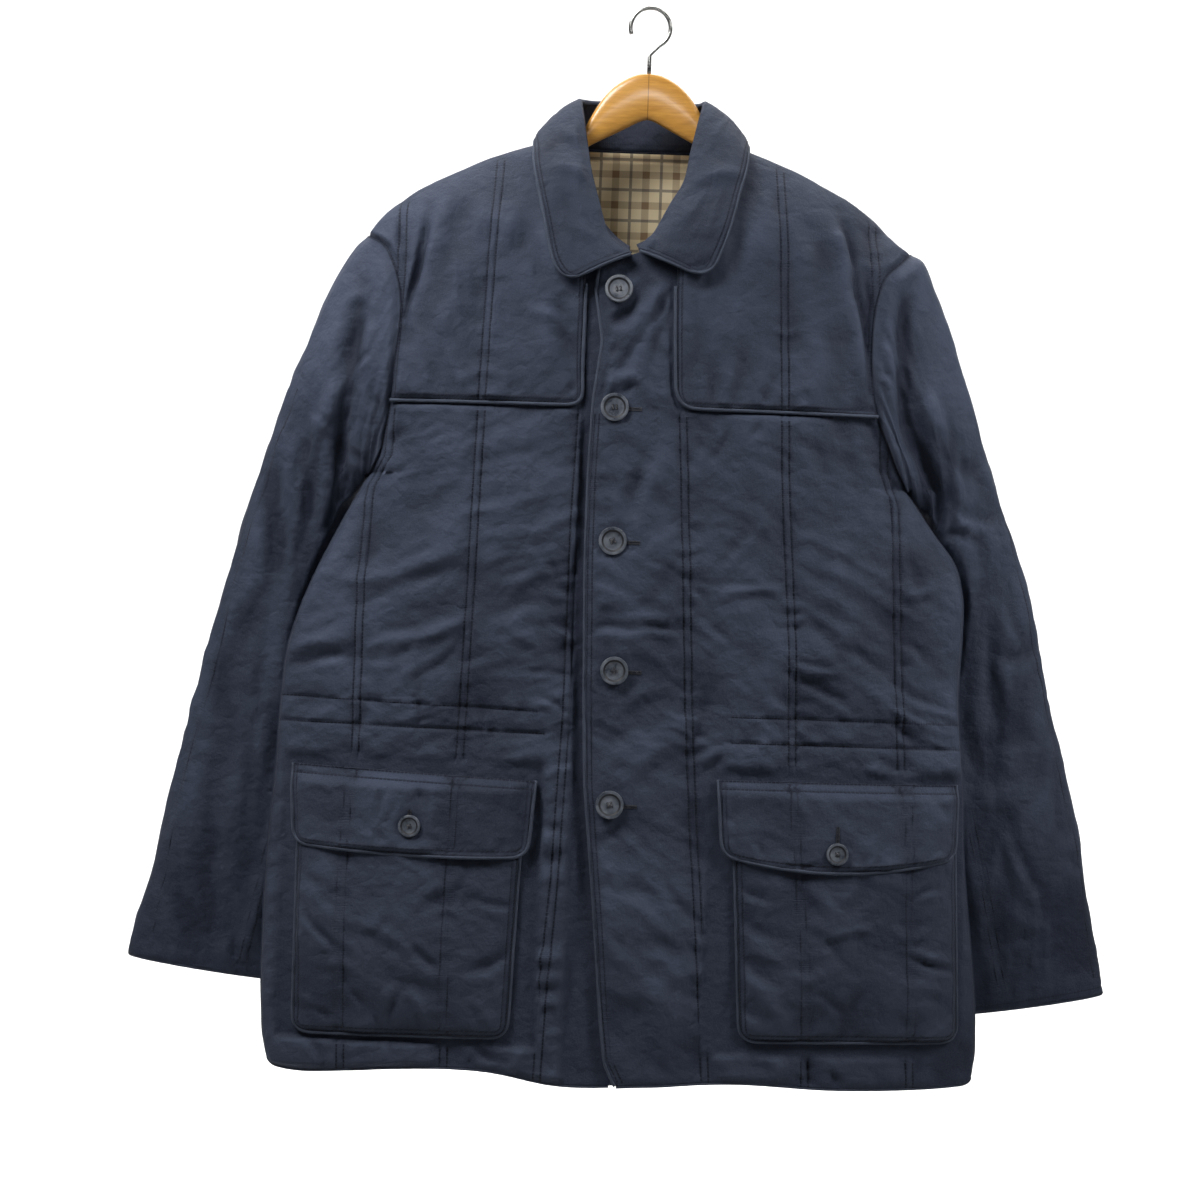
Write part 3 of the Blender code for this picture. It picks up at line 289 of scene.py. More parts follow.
# %% Crease tables for the front
# x, down of the start; x, down of the end; bow; half width; height
CREASES = [
    (74, 351, 60, 380, 4, 4, -1.2), (98, 344, 93, 360, 2, 3, -1), (107, 406, 82, 463, 4, 6, 1.3),
    (105, 412, 77, 459, 4, 5, -1), (40, 476, 124, 477, -4, 2.6, -0.9), (47, 481, 62, 501, 3, 3, -1.1),
    (52, 506, 84, 534, 3, 3.5, -1.2), (133, 499, 176, 539, 4, 5, -1.2), (134, 537, 170, 546, -3, 3, -1.3),
    (137, 557, 186, 581, 3, 4, -1.5), (139, 551, 170, 548, 0, 4, 1.3), (176, 529, 217, 557, 3, 4, -1.2),
    (217, 557, 270, 578, -3, 4, -1.4), (15, 516, 42, 520, 0, 3, -1.2), (2, 508, 39, 509, -2, 4, 1.2),
    (-25, 517, 13, 516, -3, 4, -1.3), (36, 456, 8, 503, 5, 8, -1.1), (8, 386, -5, 433, -4, 6, -1.1),
    (19, 384, 11, 424, -3, 7, 2.4), (228, 454, 237, 481, 3, 4, -1), (222, 483, 247, 480, -2, 4, 1.1),
    (226, 521, 247, 539, 3, 4, -1.1), (218, 592, 239, 608, 2, 4, -1.6), (166, 435, 158, 498, 5, 8, 1),
    (74, 491, 120, 483, 3, 4, 1), (178, 351, 205, 396, -5, 8, 1.4), (65, 570, 48, 627, 3, 6, -1.2),
    (134, 353, 159, 398, 4, 7, -0.9), (-10, 588, 29, 565, 4, 7, 1.3), (-17, 619, 28, 592, 4, 7, -1.2),
    (-214, 527, -143, 513, -5, 6, -1.6), (-185, 535, -139, 516, -3, 5, 1.3),
    (-199, 488, -136, 461, 4, 7, 1.3), (-206, 498, -138, 475, 4, 6, -1.1),
    (-80, 457, -58, 487, 3, 3, -0.9), (-281, 564, -229, 549, 4, 4, -1.5),
    (-280, 545, -231, 540, 3, 5, 1.2), (-140, 534, -174, 564, 4, 4, -1.3),
    (-172, 542, -185, 575, -3, 5, 1), (-173, 562, -172, 611, 1, 3, -1.6),
    (-121, 583, -121, 613, 1, 2.6, -1.1), (-63, 517, -40, 529, 2, 3.5, -1.5),
    (-98, 559, -45, 560, 2, 2.6, -0.9), (-75, 577, -53, 588, 2, 3, -1.1), (-66, 485, -44, 492, -2, 3, -1),
    (-34, 472, -10, 487, -3, 3, -1), (-32, 522, -9, 517, 2, 4, -1.2), (-33, 504, -9, 497, 2, 5, 1),
    (-213, 370, -205, 408, 6, 9, 1.6), (-193, 351, -203, 376, 3, 6, -1.3),
    (-109, 495, -61, 477, 5, 6, 1.1), (-114, 515, -58, 501, 5, 6, -1.2), (-98, 525, -66, 546, 3, 5, 0.9),
    (-211, 592, -226, 629, 2, 4, 0.9), (-205, 425, -177, 411, 3, 8, 1),
    (-168, 427, -138, 406, 3, 6, -0.8), (-258, 484, -232, 454, -4, 8, 1.3),
    (-117, 387, -78, 380, 4, 6, -0.8), (-176, 180, -197, 274, 3, 4.0, -4.8),
    (-167, 186, -187, 262, 3, 7, 2.6), (-200, 189, -195, 220, -3, 3, -1.2),
    (-139, 165, -160, 211, -4, 9, -2.6), (-160, 208, -173, 245, -3, 9, -2.4),
    (-97, 183, -109, 217, 4, 8, -2.2), (-81, 188, -63, 236, -4, 9, 1.8),
    (-66, 239, -47, 312, -4, 9, -3.4), (-149, 230, -171, 288, 5, 9, 1.6),
    (-117, 229, -123, 307, -3, 7, 1.2), (-151, 270, -147, 285, 0, 1.5, 0.5),
    (-1, 251, -30, 270, 3, 5, -1.2), (-13, 285, -31, 310, -4, 5, -3), (-9, 268, -27, 287, -3, 6, 2.2),
    (0, 320, -14, 329, -2, 4, -1.8), (-92, 254, -54, 271, 4, 4, -0.8), (-90, 262, -58, 281, 4, 5, 0.8),
    (160, 168, 174, 240, 4, 4.6, -4.5), (173, 226, 190, 316, 4, 5, -4.2), (157, 180, 170, 239, 5, 8, 2.4),
    (170, 249, 183, 305, 4, 8, 2), (182, 217, 189, 261, 2, 3, -1.8), (138, 189, 147, 231, 4, 9, -2),
    (102, 151, 108, 179, 3, 4, -1.6), (56, 225, 44, 247, -3, 7, -2.4), (83, 186, 75, 224, -3, 6, -1.4),
    (17, 226, -22, 279, -6, 6, -2), (-24, 281, -37, 303, -2, 5, -3), (14, 248, -12, 302, -5, 8, 3),
    (24, 241, 13, 267, -2, 4, -2.6), (21, 267, 13, 298, -3, 4, -2.2), (6, 275, -2, 323, -4, 6, 1.8),
    (-11, 326, -31, 339, -2, 5, -2.4), (-7, 312, -29, 323, -3, 5, 1.8), (56, 305, 61, 334, 1, 3.2, -1.3),
    (83, 287, 79, 332, 3, 5, -1.5), (102, 320, 104, 334, 0, 3, -1), (68, 296, 71, 333, 2, 6, 1.1),
    (109, 303, 104, 327, 2, 4, -0.9), (135, 241, 141, 318, 4, 8, 0.9), (48, 258, 37, 321, 3, 8, -1.2),
    (155, 278, 163, 325, 3, 6, -1), (-171, 309, -164, 328, 1, 4, -1.1),
    (-105, 318, -103, 331, 0, 3, -0.9), (-152, 308, -143, 328, 2, 4, 1), (-53, 316, -58, 329, 2, 3, -0.9),
    (-261, 755, -224, 791, -3, 3.2, -2.2), (-170, 781, -142, 805, -3, 3.6, -2),
    (-126, 804, -89, 785, -4, 5, -1.8), (-120, 744, -88, 749, -2, 3, -1.4),
    (-165, 749, -140, 735, 3, 5, 1.1), (-219, 821, -205, 843, 2, 3, -1.1),
    (-175, 821, -186, 848, -2, 3.6, -1.3), (-171, 819, -156, 845, 2, 4, 1.2),
    (-195, 803, -150, 819, -4, 7, -1.6), (-227, 800, -220, 823, 2, 3, -1.4),
    (-197, 658, -200, 681, 1, 3, -1.2), (-186, 664, -191, 686, 1, 3, -1),
    (-165, 652, -168, 667, 1, 3, -1.1), (-154, 657, -158, 691, 1, 5, 1.2),
    (-198, 687, -197, 703, 0, 3, -1.2), (-100, 696, -101, 707, 0, 3, -1),
    (-219, 768, -173, 785, 4, 5, 1.2), (-189, 763, -200, 777, 2, 4, -1),
    (-127, 720, -132, 735, 2, 4, -0.9), (-258, 724, -235, 739, 3, 5, 1), (-247, 840, -233, 851, 2, 3, -1),
    (-198, 842, -194, 852, 0, 2.6, -0.9), (-162, 839, -160, 851, 0, 2.6, -0.9),
    (-118, 825, -104, 847, 2, 4, 0.9), (-81, 786, -61, 779, -2, 4, -1.3),
    (-81, 756, -72, 735, 2, 4, -1.2), (-75, 707, -47, 700, 2, 5, 1), (-72, 686, -47, 689, 2, 5, -1.1),
    (-255, 865, -239, 887, 3, 3, -1.6), (-186, 860, -183, 881, 0, 2.8, -1.4),
    (-194, 861, -193, 872, 0, 2.6, -0.9), (-117, 857, -92, 878, -5, 5, -2),
    (-161, 860, -163, 879, 0, 3, -0.9), (-120, 874, -120, 881, 0, 2.6, -0.9),
    (-25, 855, -26, 882, 0, 4, -1.5), (-79, 863, -86, 884, 2, 5, 1), (-291, 767, -272, 751, -3, 5, 1),
    (-287, 810, -268, 807, 2, 5, -0.9), (-286, 682, -275, 676, 2, 5, 0.8),
    (-16, 677, -2, 693, -2, 5, -1.2), (-17, 708, -1, 723, -2, 7, 0.9), (-17, 740, -2, 746, 0, 3, -0.9),
    (96, 727, 121, 738, -2, 3.6, -1.3), (97, 751, 128, 768, -3, 4.5, -1.8),
    (100, 784, 129, 806, -3, 5, -1.9), (101, 822, 116, 836, -2, 4, -1.1),
    (106, 773, 139, 788, -2, 5, 1.2), (107, 806, 141, 849, 3, 6, 1.2), (156, 810, 187, 834, 3, 4, -1),
    (163, 765, 178, 787, 2, 4, -1), (167, 768, 201, 759, 2, 3, 1.2), (236, 781, 273, 792, -2, 2.8, -2),
    (236, 775, 269, 784, -2, 4, 1.3), (237, 733, 256, 725, 2, 3, -1.2), (196, 717, 186, 746, 3, 6, -0.9),
    (157, 727, 171, 759, 3, 6, 0.9), (201, 807, 182, 848, -3, 6, -1), (249, 805, 270, 816, 3, 5, 0.9),
    (65, 758, 84, 780, -3, 4, -2), (70, 790, 96, 796, -3, 3.5, -1.6), (72, 785, 92, 776, -2, 4, 1.2),
    (31, 719, 65, 758, -4, 5, -2), (72, 804, 93, 800, 2, 4, -1), (60, 631, 84, 615, 3, 4, 1.1),
    (154, 863, 159, 884, 1, 3, -1.5), (176, 874, 181, 888, 1, 3, -1.6), (92, 837, 90, 861, 1, 3, -1.4),
    (250, 650, 262, 669, 2, 4, -1), (142, 649, 155, 668, 2, 4, -0.9), (-7, 678, -17, 696, 2, 5, -1.3),
    (2, 643, 41, 609, 5, 8, 1.8), (-5, 732, 40, 751, 6, 9, -1.6), (4, 777, 52, 791, 6, 8, -1.4),
    (-2, 814, 47, 828, 5, 9, 1.2), (196, 620, 221, 640, -3, 4, 1.5), (204, 615, 233, 629, -3, 4, -1.5),
    (74, 620, 67, 636, 2, 4, -1), (249, 864, 248, 880, 0, 3, -1), (111, 861, 110, 881, 1, 4, -0.9),
    (129, 864, 134, 884, 1, 5, 0.8), (107, 688, 114, 702, 1, 3, -1), (207, 695, 206, 709, 0, 3, -1),
    (193, 699, 195, 711, 0, 3, -0.8)]

# the hidden back gets the same kind, and fewer of them
BACK_CREASES = [
    (-178, 180, -196, 300, -8, 5, -3.0), (176, 180, 194, 300, 8, 5, -3.0),
    (-150, 170, -168, 280, -5, 9, 1.8), (150, 170, 168, 280, 5, 9, 1.8), (-70, 200, -96, 330, 5, 9, -1.6),
    (74, 195, 98, 335, -5, 9, -1.6), (-200, 420, -100, 470, 8, 6, -1.5), (200, 425, 105, 478, 8, 6, -1.4),
    (-190, 440, -90, 490, 8, 6, 1.4), (185, 446, 95, 495, 8, 6, 1.2), (-160, 555, -60, 540, 6, 5, -1.3),
    (40, 556, 140, 543, 6, 5, -1.2), (-230, 560, -180, 540, 4, 5, -1.2), (180, 540, 236, 566, 4, 5, -1.2),
    (-200, 700, -150, 820, 8, 7, -1.6), (180, 690, 150, 830, 8, 7, -1.6), (-185, 705, -135, 820, 8, 7, 1.4),
    (-60, 640, -30, 760, 6, 6, -1.3), (60, 650, 40, 770, 6, 6, -1.3), (90, 660, 78, 760, 4, 6, 1.0),
    (-250, 640, -215, 690, 5, 5, -1.3), (250, 640, 214, 700, 5, 5, -1.3), (-30, 790, 20, 880, 4, 6, -1.2),
    (110, 800, 140, 884, 3, 5, -1.4), (-110, 810, -130, 884, 3, 5, -1.3), (10, 360, 70, 420, 6, 8, -1.2),
    (-20, 380, -90, 430, 6, 8, -1.1)]

# padding keeps a crease from going deeper than the first; a fold that falls from a seam may
DEEPEST, DEEPEST_FOLD, FOLD_FROM = 3.4, 6.5, 4.15


def creases(table, x, down):
    """Height that a table's ridges and troughs add at a place."""
    height = np.zeros(np.broadcast(x, down).shape)
    for x0, down0, x1, down1, bow, half_width, rise in table:
        run_x, run_down = x1 - x0, down1 - down0
        length = math.hypot(run_x, run_down)
        along = ((x - x0) * run_x + (down - down0) * run_down) / length ** 2
        across = ((x - x0) * run_down - (down - down0) * run_x) / length
        f = np.clip(along, 0, 1)
        off = across - bow * 4 * f * (1 - f)
        past = (along - f) * length
        away = np.hypot(off, past) / half_width
        shade = np.hypot(off + 1.7 * half_width, past) / (1.2 * half_width)
        deepest = DEEPEST_FOLD if abs(rise) > FOLD_FROM else DEEPEST
        strength = deepest * math.tanh(2.1 * rise / deepest)
        strength = strength * np.sin(math.pi * np.clip(f, 0.08, 0.92)) ** 0.7
        height = height + strength * (np.exp(-away ** 2) - 0.55 * np.exp(-shade ** 2))
    return height


print(len(CREASES), "front creases,", len(BACK_CREASES), "on the back")

# %% [markdown]
# ## Quilting
# Two lines of stitching, 6 mm apart, hold shell, padding and lining together. Between two
# rows the padding swells. Each stitched line is a small groove, and the cloth gathers into
# short puckers beside it, because thread always pulls in a little. At the waist two lines
# make a casing for a cord, and there the cloth gathers most.

# %% Relief of the quilting
def puckers(along, away, seed, strength=2.2, reach=6.5, pitch=6.0):
    """Short ridges square to a stitched line, uneven, dying away from it."""
    slant = along / pitch + 0.5 * lumps(along / 30, 0 * along, seed + 3)
    ridge = lumps(slant, 0 * along + seed, seed) + 0.5 * lumps(slant * 2.1, 0 * along, seed + 9)
    uneven = 0.65 + 0.6 * lumps(along / 38, 0 * along, seed + 5)
    near = strength * ridge * uneven * np.exp(-away / reach)
    near = np.where(near < 0, 0.45 * near, near)
    long_ones = 0.7 * strength * lumps(slant / 3.1, 0 * along, seed + 12) * np.exp(-away / (3 * reach))
    return near + long_ones


def groove(away, depth=0.7, width=1.1):
    return -depth * np.exp(-(away / width) ** 2)


# both stitched lines of the waist casing, for the back (0) and each front: x, down of both ends
CASING = {0: [(-320, 587, 320, 590), (-320, 607, 320, 610)],
          1: [(-300, 583.5, -66, 590), (-300, 604.5, -63, 608)],
          2: [(80, 589, 300, 590), (80, 610, 300, 611)]}


def quilting(x, down, rows, seed, side=None):
    """Height of the quilted cloth, and how far each place is from a stitched line."""
    row_x = np.array([straight(row, down) for row in rows])
    distance = np.abs(x - row_x)
    nearest = distance.min(axis=0)
    index = distance.argmin(axis=0)
    t = np.clip((nearest - STITCH_HALF) / PUFF_RUN, 0, 1)
    height = PUFF * 1.25 * (1 - (1 - t) ** 2) + 0.45 * np.clip(1 - (nearest / STITCH_HALF) ** 2, 0, 1)
    line = np.abs(nearest - STITCH_HALF)
    beside = np.maximum(nearest - STITCH_HALF, 0)
    slanted = down + 0.35 * beside * np.where(x < 0, -1, 1)
    gathered = puckers(slanted, beside, seed + index)
    gathered = gathered * (0.35 + 0.65 * ramp(nearest, 1.0, STITCH_HALF + 1.5))
    height = height + groove(line) + gathered
    along = down + 0.0
    if side is not None:
        for number, (x0, down0, x1, down1) in enumerate(CASING[side]):
            level = down0 + (x - x0) * (down1 - down0) / (x1 - x0)
            inside = {0: 1.0, 1: 1 - ramp(x, x1 - 9, x1 + 1), 2: ramp(x, x0 - 1, x0 + 9)}[side]
            away = np.abs(down - level)
            swell = PUFF * (1 - (1 - np.clip(away / PUFF_RUN, 0, 1)) ** 2) + 0.4
            height = height * (1 - inside) + np.minimum(height, swell) * inside
            gather = puckers(x + 0.25 * away, away, seed + 20 + 5 * number, 3.4, 7.5, 7.5)
            height = height + inside * (groove(away, 1.1, 1.5) + gather)
            away = away + FAR * (inside < 0.5)
            along = np.where(away < line, x, along)
            line = np.minimum(line, away)
    return height, line, along


def free_of_buttons(x, down, spots, reach=12.0):
    """0 under a button and 1 away from it: its thread holds the padding flat there."""
    free = np.ones(np.broadcast(x, down).shape)
    for spot_x, spot_down in spots:
        free = free * (1 - np.exp(-((x - spot_x) ** 2 + (down - spot_down) ** 2) / reach ** 2))
    return free


def unevenness(x, down, seed, slant=0.0):
    """The padding's lumps, and the crumpled look of cotton after long wear and folding."""
    turn = math.radians(slant)
    bent = down + 7 * lumps(x / 44, down / 44, seed + 6)
    a = x * math.cos(turn) + bent * math.sin(turn)
    b = -x * math.sin(turn) + bent * math.cos(turn)
    big = 3.0 * lumps(x / 62, down / 84, seed) + 1.5 * lumps(x / 30, down / 38, seed + 1)
    crumpled = 2.4 * (0.5 - np.abs(lumps(a / 62, b / 20, seed + 2)))
    crumpled = crumpled + 1.2 * (0.5 - np.abs(lumps(a / 34, b / 11, seed + 3)))
    crumpled = crumpled + 0.8 * (0.5 - np.abs(lumps(a / 19 + b / 40, b / 7, seed + 7)))
    small = 0.3 * lumps(x / 8, down / 8, seed + 4)
    return big + crumpled + small


# %% [markdown]
# ## Making a piece of cloth
# A panel is a grid of points with an outer and an inner side, closed round its rim, so it has
# a real thickness wherever an edge shows. The weave and the stitching follow the cloth, so
# the piece carries its flat measurements as a UV map, and its distance from the nearest
# stitched line as an attribute that the material reads.

# %% Sewing helper
PIECES = {}


def inner_side(points, normals, height, wall=WALL):
    """The wall's other side, which gives way where a fold goes deep."""
    return points + normals * (np.minimum(height, 0) - wall + 0.6)[..., None]


def turned_out(mesh):
    """All faces of a closed mesh made to face outwards."""
    work = bmesh.new()
    work.from_mesh(mesh)
    bmesh.ops.recalc_face_normals(work, faces=work.faces)
    work.to_mesh(mesh)
    work.free()


def mark(mesh, label, values):
    """One number for each point, which the material reads."""
    mesh.attributes.new(label, "FLOAT", "POINT").data.foreach_set("value", values)


def keep(name, mesh):
    piece = bpy.data.objects.new(name, mesh)
    bpy.context.scene.collection.objects.link(piece)
    PIECES[name] = piece
    print("%-24s %6d faces" % (name, len(mesh.polygons)))


def sew(name, outer, inner, flat_u, flat_v, line=None, along=None, height=None, tube=False):
    """A closed piece of cloth between two grids, in millimetres."""
    rows, columns = outer.shape[:2]
    count = rows * columns
    points = np.vstack([outer.reshape(-1, 3), inner.reshape(-1, 3)]) * MM
    number = np.arange(count).reshape(rows, columns)
    ring = np.concatenate([number, number[:, :1]], axis=1) if tube else number
    quad = np.stack([ring[:-1, :-1], ring[:-1, 1:], ring[1:, 1:], ring[1:, :-1]], axis=-1).reshape(-1, 4)
    one, two, three = points[quad[:, 0]], points[quad[:, 1]], points[quad[:, 3]]
    facing = np.einsum("ij,ij->i", np.cross(two - one, three - one),
                       points[quad[:, 0]] - points[quad[:, 0] + count])
    if np.median(facing) < 0:
        quad = quad[:, ::-1]
    strips = [ring[0], ring[-1]] if tube else [ring[0], ring[-1], number[:, 0], number[:, -1]]
    rims = [np.stack([strip[:-1], strip[1:], strip[1:] + count, strip[:-1] + count], axis=-1)
            for strip in strips]
    faces = np.vstack([quad, quad[:, ::-1] + count] + rims)
    mesh = bpy.data.meshes.new(name)
    mesh.vertices.add(len(points))
    mesh.vertices.foreach_set("co", points.ravel())
    mesh.loops.add(faces.size)
    mesh.loops.foreach_set("vertex_index", faces.ravel().astype(np.int32))
    mesh.polygons.add(len(faces))
    mesh.polygons.foreach_set("loop_start", np.arange(0, faces.size, 4, dtype=np.int32))
    slots = np.zeros(len(faces), dtype=np.int32)
    slots[len(quad):2 * len(quad)] = 1
    mesh.polygons.foreach_set("material_index", slots)
    mesh.update(calc_edges=True)
    mesh.validate()
    turned_out(mesh)
    mesh.shade_smooth()
    doubled = np.zeros((2 * count, 2))
    doubled[:count] = doubled[count:] = np.stack([flat_u.ravel(), flat_v.ravel()], axis=-1) * MM
    corner = np.zeros(len(mesh.loops), dtype=np.int32)
    mesh.loops.foreach_get("vertex_index", corner)
    layer = mesh.uv_layers.new(name="flat")
    layer.data.foreach_set("uv", doubled[corner].ravel())
    for label, values, spare in (("line", line, FAR), ("along", along, 0.0), ("relief", height, 1.0)):
        data = np.full(count, spare) if values is None else np.asarray(values, float).ravel()
        mark(mesh, label, np.concatenate([data, np.full(count, spare)]))
    keep(name, mesh)


def grid_normals(grid, tube=False):
    if tube:
        along_columns = np.roll(grid, -1, axis=1) - np.roll(grid, 1, axis=1)
    else:
        along_columns = np.gradient(grid, axis=1)
    return unit(np.cross(along_columns, np.gradient(grid, axis=0)))


# %% [markdown]
# ## The two fronts
# A front is cut along its shoulder, armhole, side, hem and centre edge. The grid's columns
# follow the quilting rows and crowd together beside each, so the grooves stay crisp, and
# its levels crowd at the waist casing. Where a flap or pocket covers it, it stays plain.

# %% Levels and columns of a panel
NEAR_A_LINE = (0.0, 1.3, 2.3, 3.0, 3.7, 4.8, 7.0)


def crowded(start, end, step, bands):
    """Places from start to end, one step apart, but closer within each band."""
    near = [v for low, high in bands for v in np.arange(low, high, 1.25)]
    regular = np.arange(start, end, step)
    clear = [v for v in regular if all(v < low - 1 or v > high + 1 for low, high in bands)]
    return np.unique(np.round(clear + near + [TIP, UNDERARM, STORM_FLAP_ROW, end], 3))


COLUMN_STEP, BACK_COLUMN_STEP, LEVEL_STEP = 3.4, 7.6, 2.8
CLOSE_BANDS = [(331, 340), (579, 616)]       # at the storm flaps' edge and at the waist
LEVELS = crowded(TOP, HEM_LEVEL, LEVEL_STEP, CLOSE_BANDS)
print(len(LEVELS), "levels from neck to hem")


def fine_columns(guides, step):
    """x of every column at every level: close together beside each guide line."""
    near = np.asarray(NEAR_A_LINE)
    places = []
    for first, second in zip(guides[:-1], guides[1:]):
        width = np.abs(second - first)[:, None]
        sign = np.sign(second - first)[:, None]
        squeeze = np.minimum(1, width / (2.6 * near[-1]))
        rest = int(max(2, math.ceil((width.max() - 2 * near[-1]) / step)))
        low = near[None, :] * squeeze
        share = np.arange(1, rest)[None, :] / rest
        middle = near[-1] * squeeze + (width - 2 * near[-1] * squeeze) * share
        high = width - low[:, ::-1]
        places.append(first[:, None] + sign * np.concatenate([low, middle, high[:, :-1]], axis=1))
    places.append(guides[-1][:, None])
    return np.concatenate(places, axis=1)


def kept_apart(guides, least=9.0):
    """Guide lines held inside the panel and away from each other."""
    first, last = guides[0], guides[-1]
    sign = np.sign(last - first)
    room = np.abs(last - first)
    spare = np.minimum(least, 0.8 * room / (len(guides) - 1))
    kept = [first]
    for k in range(1, len(guides) - 1):
        low = first + sign * spare * k
        high = last - sign * spare * (len(guides) - 1 - k)
        inside = np.clip(sign * guides[k], sign * low, sign * high) * sign
        kept.append(np.where(sign * (inside - kept[-1]) < spare, kept[-1] + sign * spare, inside))
    kept.append(last)
    return kept


def levels_for(x):
    """How far down each grid point is: the lowest levels bend to follow the hem."""
    level = LEVELS[:, None] * np.ones((1, x.shape[1]))
    hem = smooth(HEM, 1, x)
    room = np.minimum(x - outline(HEM_LEVEL, 1), outline(HEM_LEVEL, 2) - x)
    hem = hem - HEM_ROUND * (1 - np.sqrt(1 - (1 - np.clip(room / (2 * HEM_ROUND), 0, 1)) ** 2))
    share = np.clip((level - HEM_ZONE) / (HEM_LEVEL - HEM_ZONE), 0, 1)
    return np.where(level > HEM_ZONE, HEM_ZONE + share * (hem - HEM_ZONE), level)


def edge_turned(normals, column, side):
    """Along shoulder and side the wall ends square to the seam."""
    out = -1.0 if side == 1 else 1.0
    slope = (outline(LEVELS + 1, side) - outline(LEVELS - 1, side)) / 2
    across = unit(np.stack([np.full_like(LEVELS, 1.0), 0 * LEVELS, slope], axis=-1)) * out
    square = np.where((LEVELS <= TIP)[:, None], across, np.array([out, 0.0, 0.0]))
    armhole = (LEVELS > TIP) & (LEVELS < UNDERARM)
    normals[:, column] = np.where(armhole[:, None], normals[:, column], square)
    return normals


# %% The fronts' grids
def front_grid(side):
    surface = FRONT_Y[side]
    guides = [outline(LEVELS, side)] + [straight(row, LEVELS) for row in reversed(ROWS[side])]
    guides = kept_apart(guides + [straight(FRONT_EDGE[side], LEVELS)])
    x = fine_columns(guides, COLUMN_STEP)
    down = levels_for(x)
    points = place(x, surface(x, down), down)
    normals = edge_turned(surface_normals(surface, x, down, -1), 0, side)
    return x, down, points, normals


def covered(x, down, side):
    """0 where another piece lies on a front, 1 elsewhere, with a soft change."""
    beside = np.abs(x) - (np.abs(straight(ROWS[side][0], down)) - 4)
    storm = ramp(beside, -3, 1) * (1 - ramp(down, STORM_FLAP_ROW + 2, STORM_FLAP_ROW + 6))
    low, high = FLAP[side][0][0] - 6, FLAP[side][1][0] + 6
    pocket = ramp(x, low - 4, low) * (1 - ramp(x, high, high + 4))
    pocket = pocket * ramp(down, POCKET_TOP_ROW - 13, POCKET_TOP_ROW - 2) * (1 - ramp(down, 864, 868))
    plain = np.maximum(storm, pocket)
    if side == 1:
        plain = np.maximum(plain, ramp(x, -48, -42))
    return 1 - np.maximum(plain, 1 - ramp(down, 228, 240))


def under_a_layer(x, down, side):
    """1 well inside what a storm flap or the overlap hides, where the front sinks out of the way."""
    beside = np.abs(x) - np.abs(straight(ROWS[side][0], down))
    storm = ramp(beside, 4, 16) * (1 - ramp(down, 321, 333))
    storm = storm * ramp(down, 150, 190) * edge_share(x, down, side, 12)
    if side == 1:
        overlap = ramp(x - smooth(FRONT_EDGE[2], 1, down), 4, 14) * ramp(down, 234, 250)
        storm = np.maximum(storm, 0.7 * overlap * (1 - ramp(down, 868, 884)))
    return storm


def inside_outline(x, down, side):
    return (x - outline(down, 1)) if side == 1 else (outline(down, 2) - x)


def edge_share(x, down, side, run=10.0):
    """0 on the outline, 1 a little inside it: the relief dies out at a seam."""
    return ramp(inside_outline(x, down, side), 0, run)


def seam_dip(x, down, side, depth):
    """The valley of a seam, and the ridge of its turnings beside it."""
    room = inside_outline(x, down, side)
    return -depth * np.exp(-(room / 1.8) ** 2) + 0.5 * np.exp(-((room - 4.5) / 2.6) ** 2)


def with_seam_line(line, x, down, side):
    """The painted shade line of the armhole and side seam joins the stitched lines."""
    room = np.abs(x - outline(down, side)) + FAR * (down < TIP)
    return np.minimum(line, SEAM_LINE + SEAM_LINE * room)


# half width and depth of the valley where the lower front slips under the upper one
OVERLAP_VALLEY = (5.0, 2.6)
BUTTON_BED = 1.0         # the cloth's height under a front button
COVER = {}               # x, down and height of the face of each piece that has buttonholes


def build_front(side):
    name = SIDE_WORD[side] + "_front"
    x, down, points, normals = front_grid(side)
    height, line, along = quilting(x, down, ROWS[side], 10 * side, side)
    shown = covered(x, down, side)
    height = height + creases(CREASES, x, down) + unevenness(x, down, side, -18 if side == 1 else 32)
    hem = np.clip(down[-1] - down, 0, 60)
    height = height + puckers(x, hem, 40 + side, 1.8, 9.0, 9.0) * (hem < 40)
    if side == 2:
        edge = x - straight(FRONT_EDGE[2], down)
        height = height + groove(np.abs(edge - 5.0)) + puckers(down, edge, 44, 1.2, 6.0, 9.0)
        # a stitched line 5 mm in, and a ditch of painted shade 1 mm in, beside the front's piping
        line = np.minimum(line, np.minimum(np.abs(edge - 5.0), np.abs(edge - 1.0)))
        height = height * (0.35 + 0.65 * ramp(edge, 1, 8))
    height = height * shown * edge_share(x, down, side)
    if side == 1:
        beside = x - smooth(FRONT_EDGE[2], 1, down) + OVERLAP_VALLEY[0]
        valley = np.exp(-(beside / OVERLAP_VALLEY[0]) ** 2) * ramp(down, 345, 366)
        height = height - OVERLAP_VALLEY[1] * valley * (1 - 0.6 * ramp(down, 720, 800))
    else:
        free = free_of_buttons(x, down, [spot[:2] for spot in FRONT_BUTTONS])
        height = height * free + BUTTON_BED * (1 - free)
    seam = seam_dip(x, down, side, 0.9)
    seam = np.where(shown > 0.5, seam, np.minimum(seam, 0))
    height = height * ramp(hem, 0, 5) + seam - 4.4 * under_a_layer(x, down, side)
    outer = points + normals * height[..., None]
    inner = inner_side(points, normals, height)
    COVER[name] = (x, down, height)
    line = with_seam_line(line + FAR * (1 - shown), x, down, side)
    sew(name, outer, inner, x, -down, line, along, height)
    return x, down, points, normals


fronts = {side: build_front(side) for side in (1, 2)}

# %% [markdown]
# ## The back
# The back is one panel with six quilting rows and the waist casing right across it. It isn't
# in the photograph, so it gets what such a coat has: soft folds from the shoulder blades,
# and the same kind of creases as the front, differently placed.

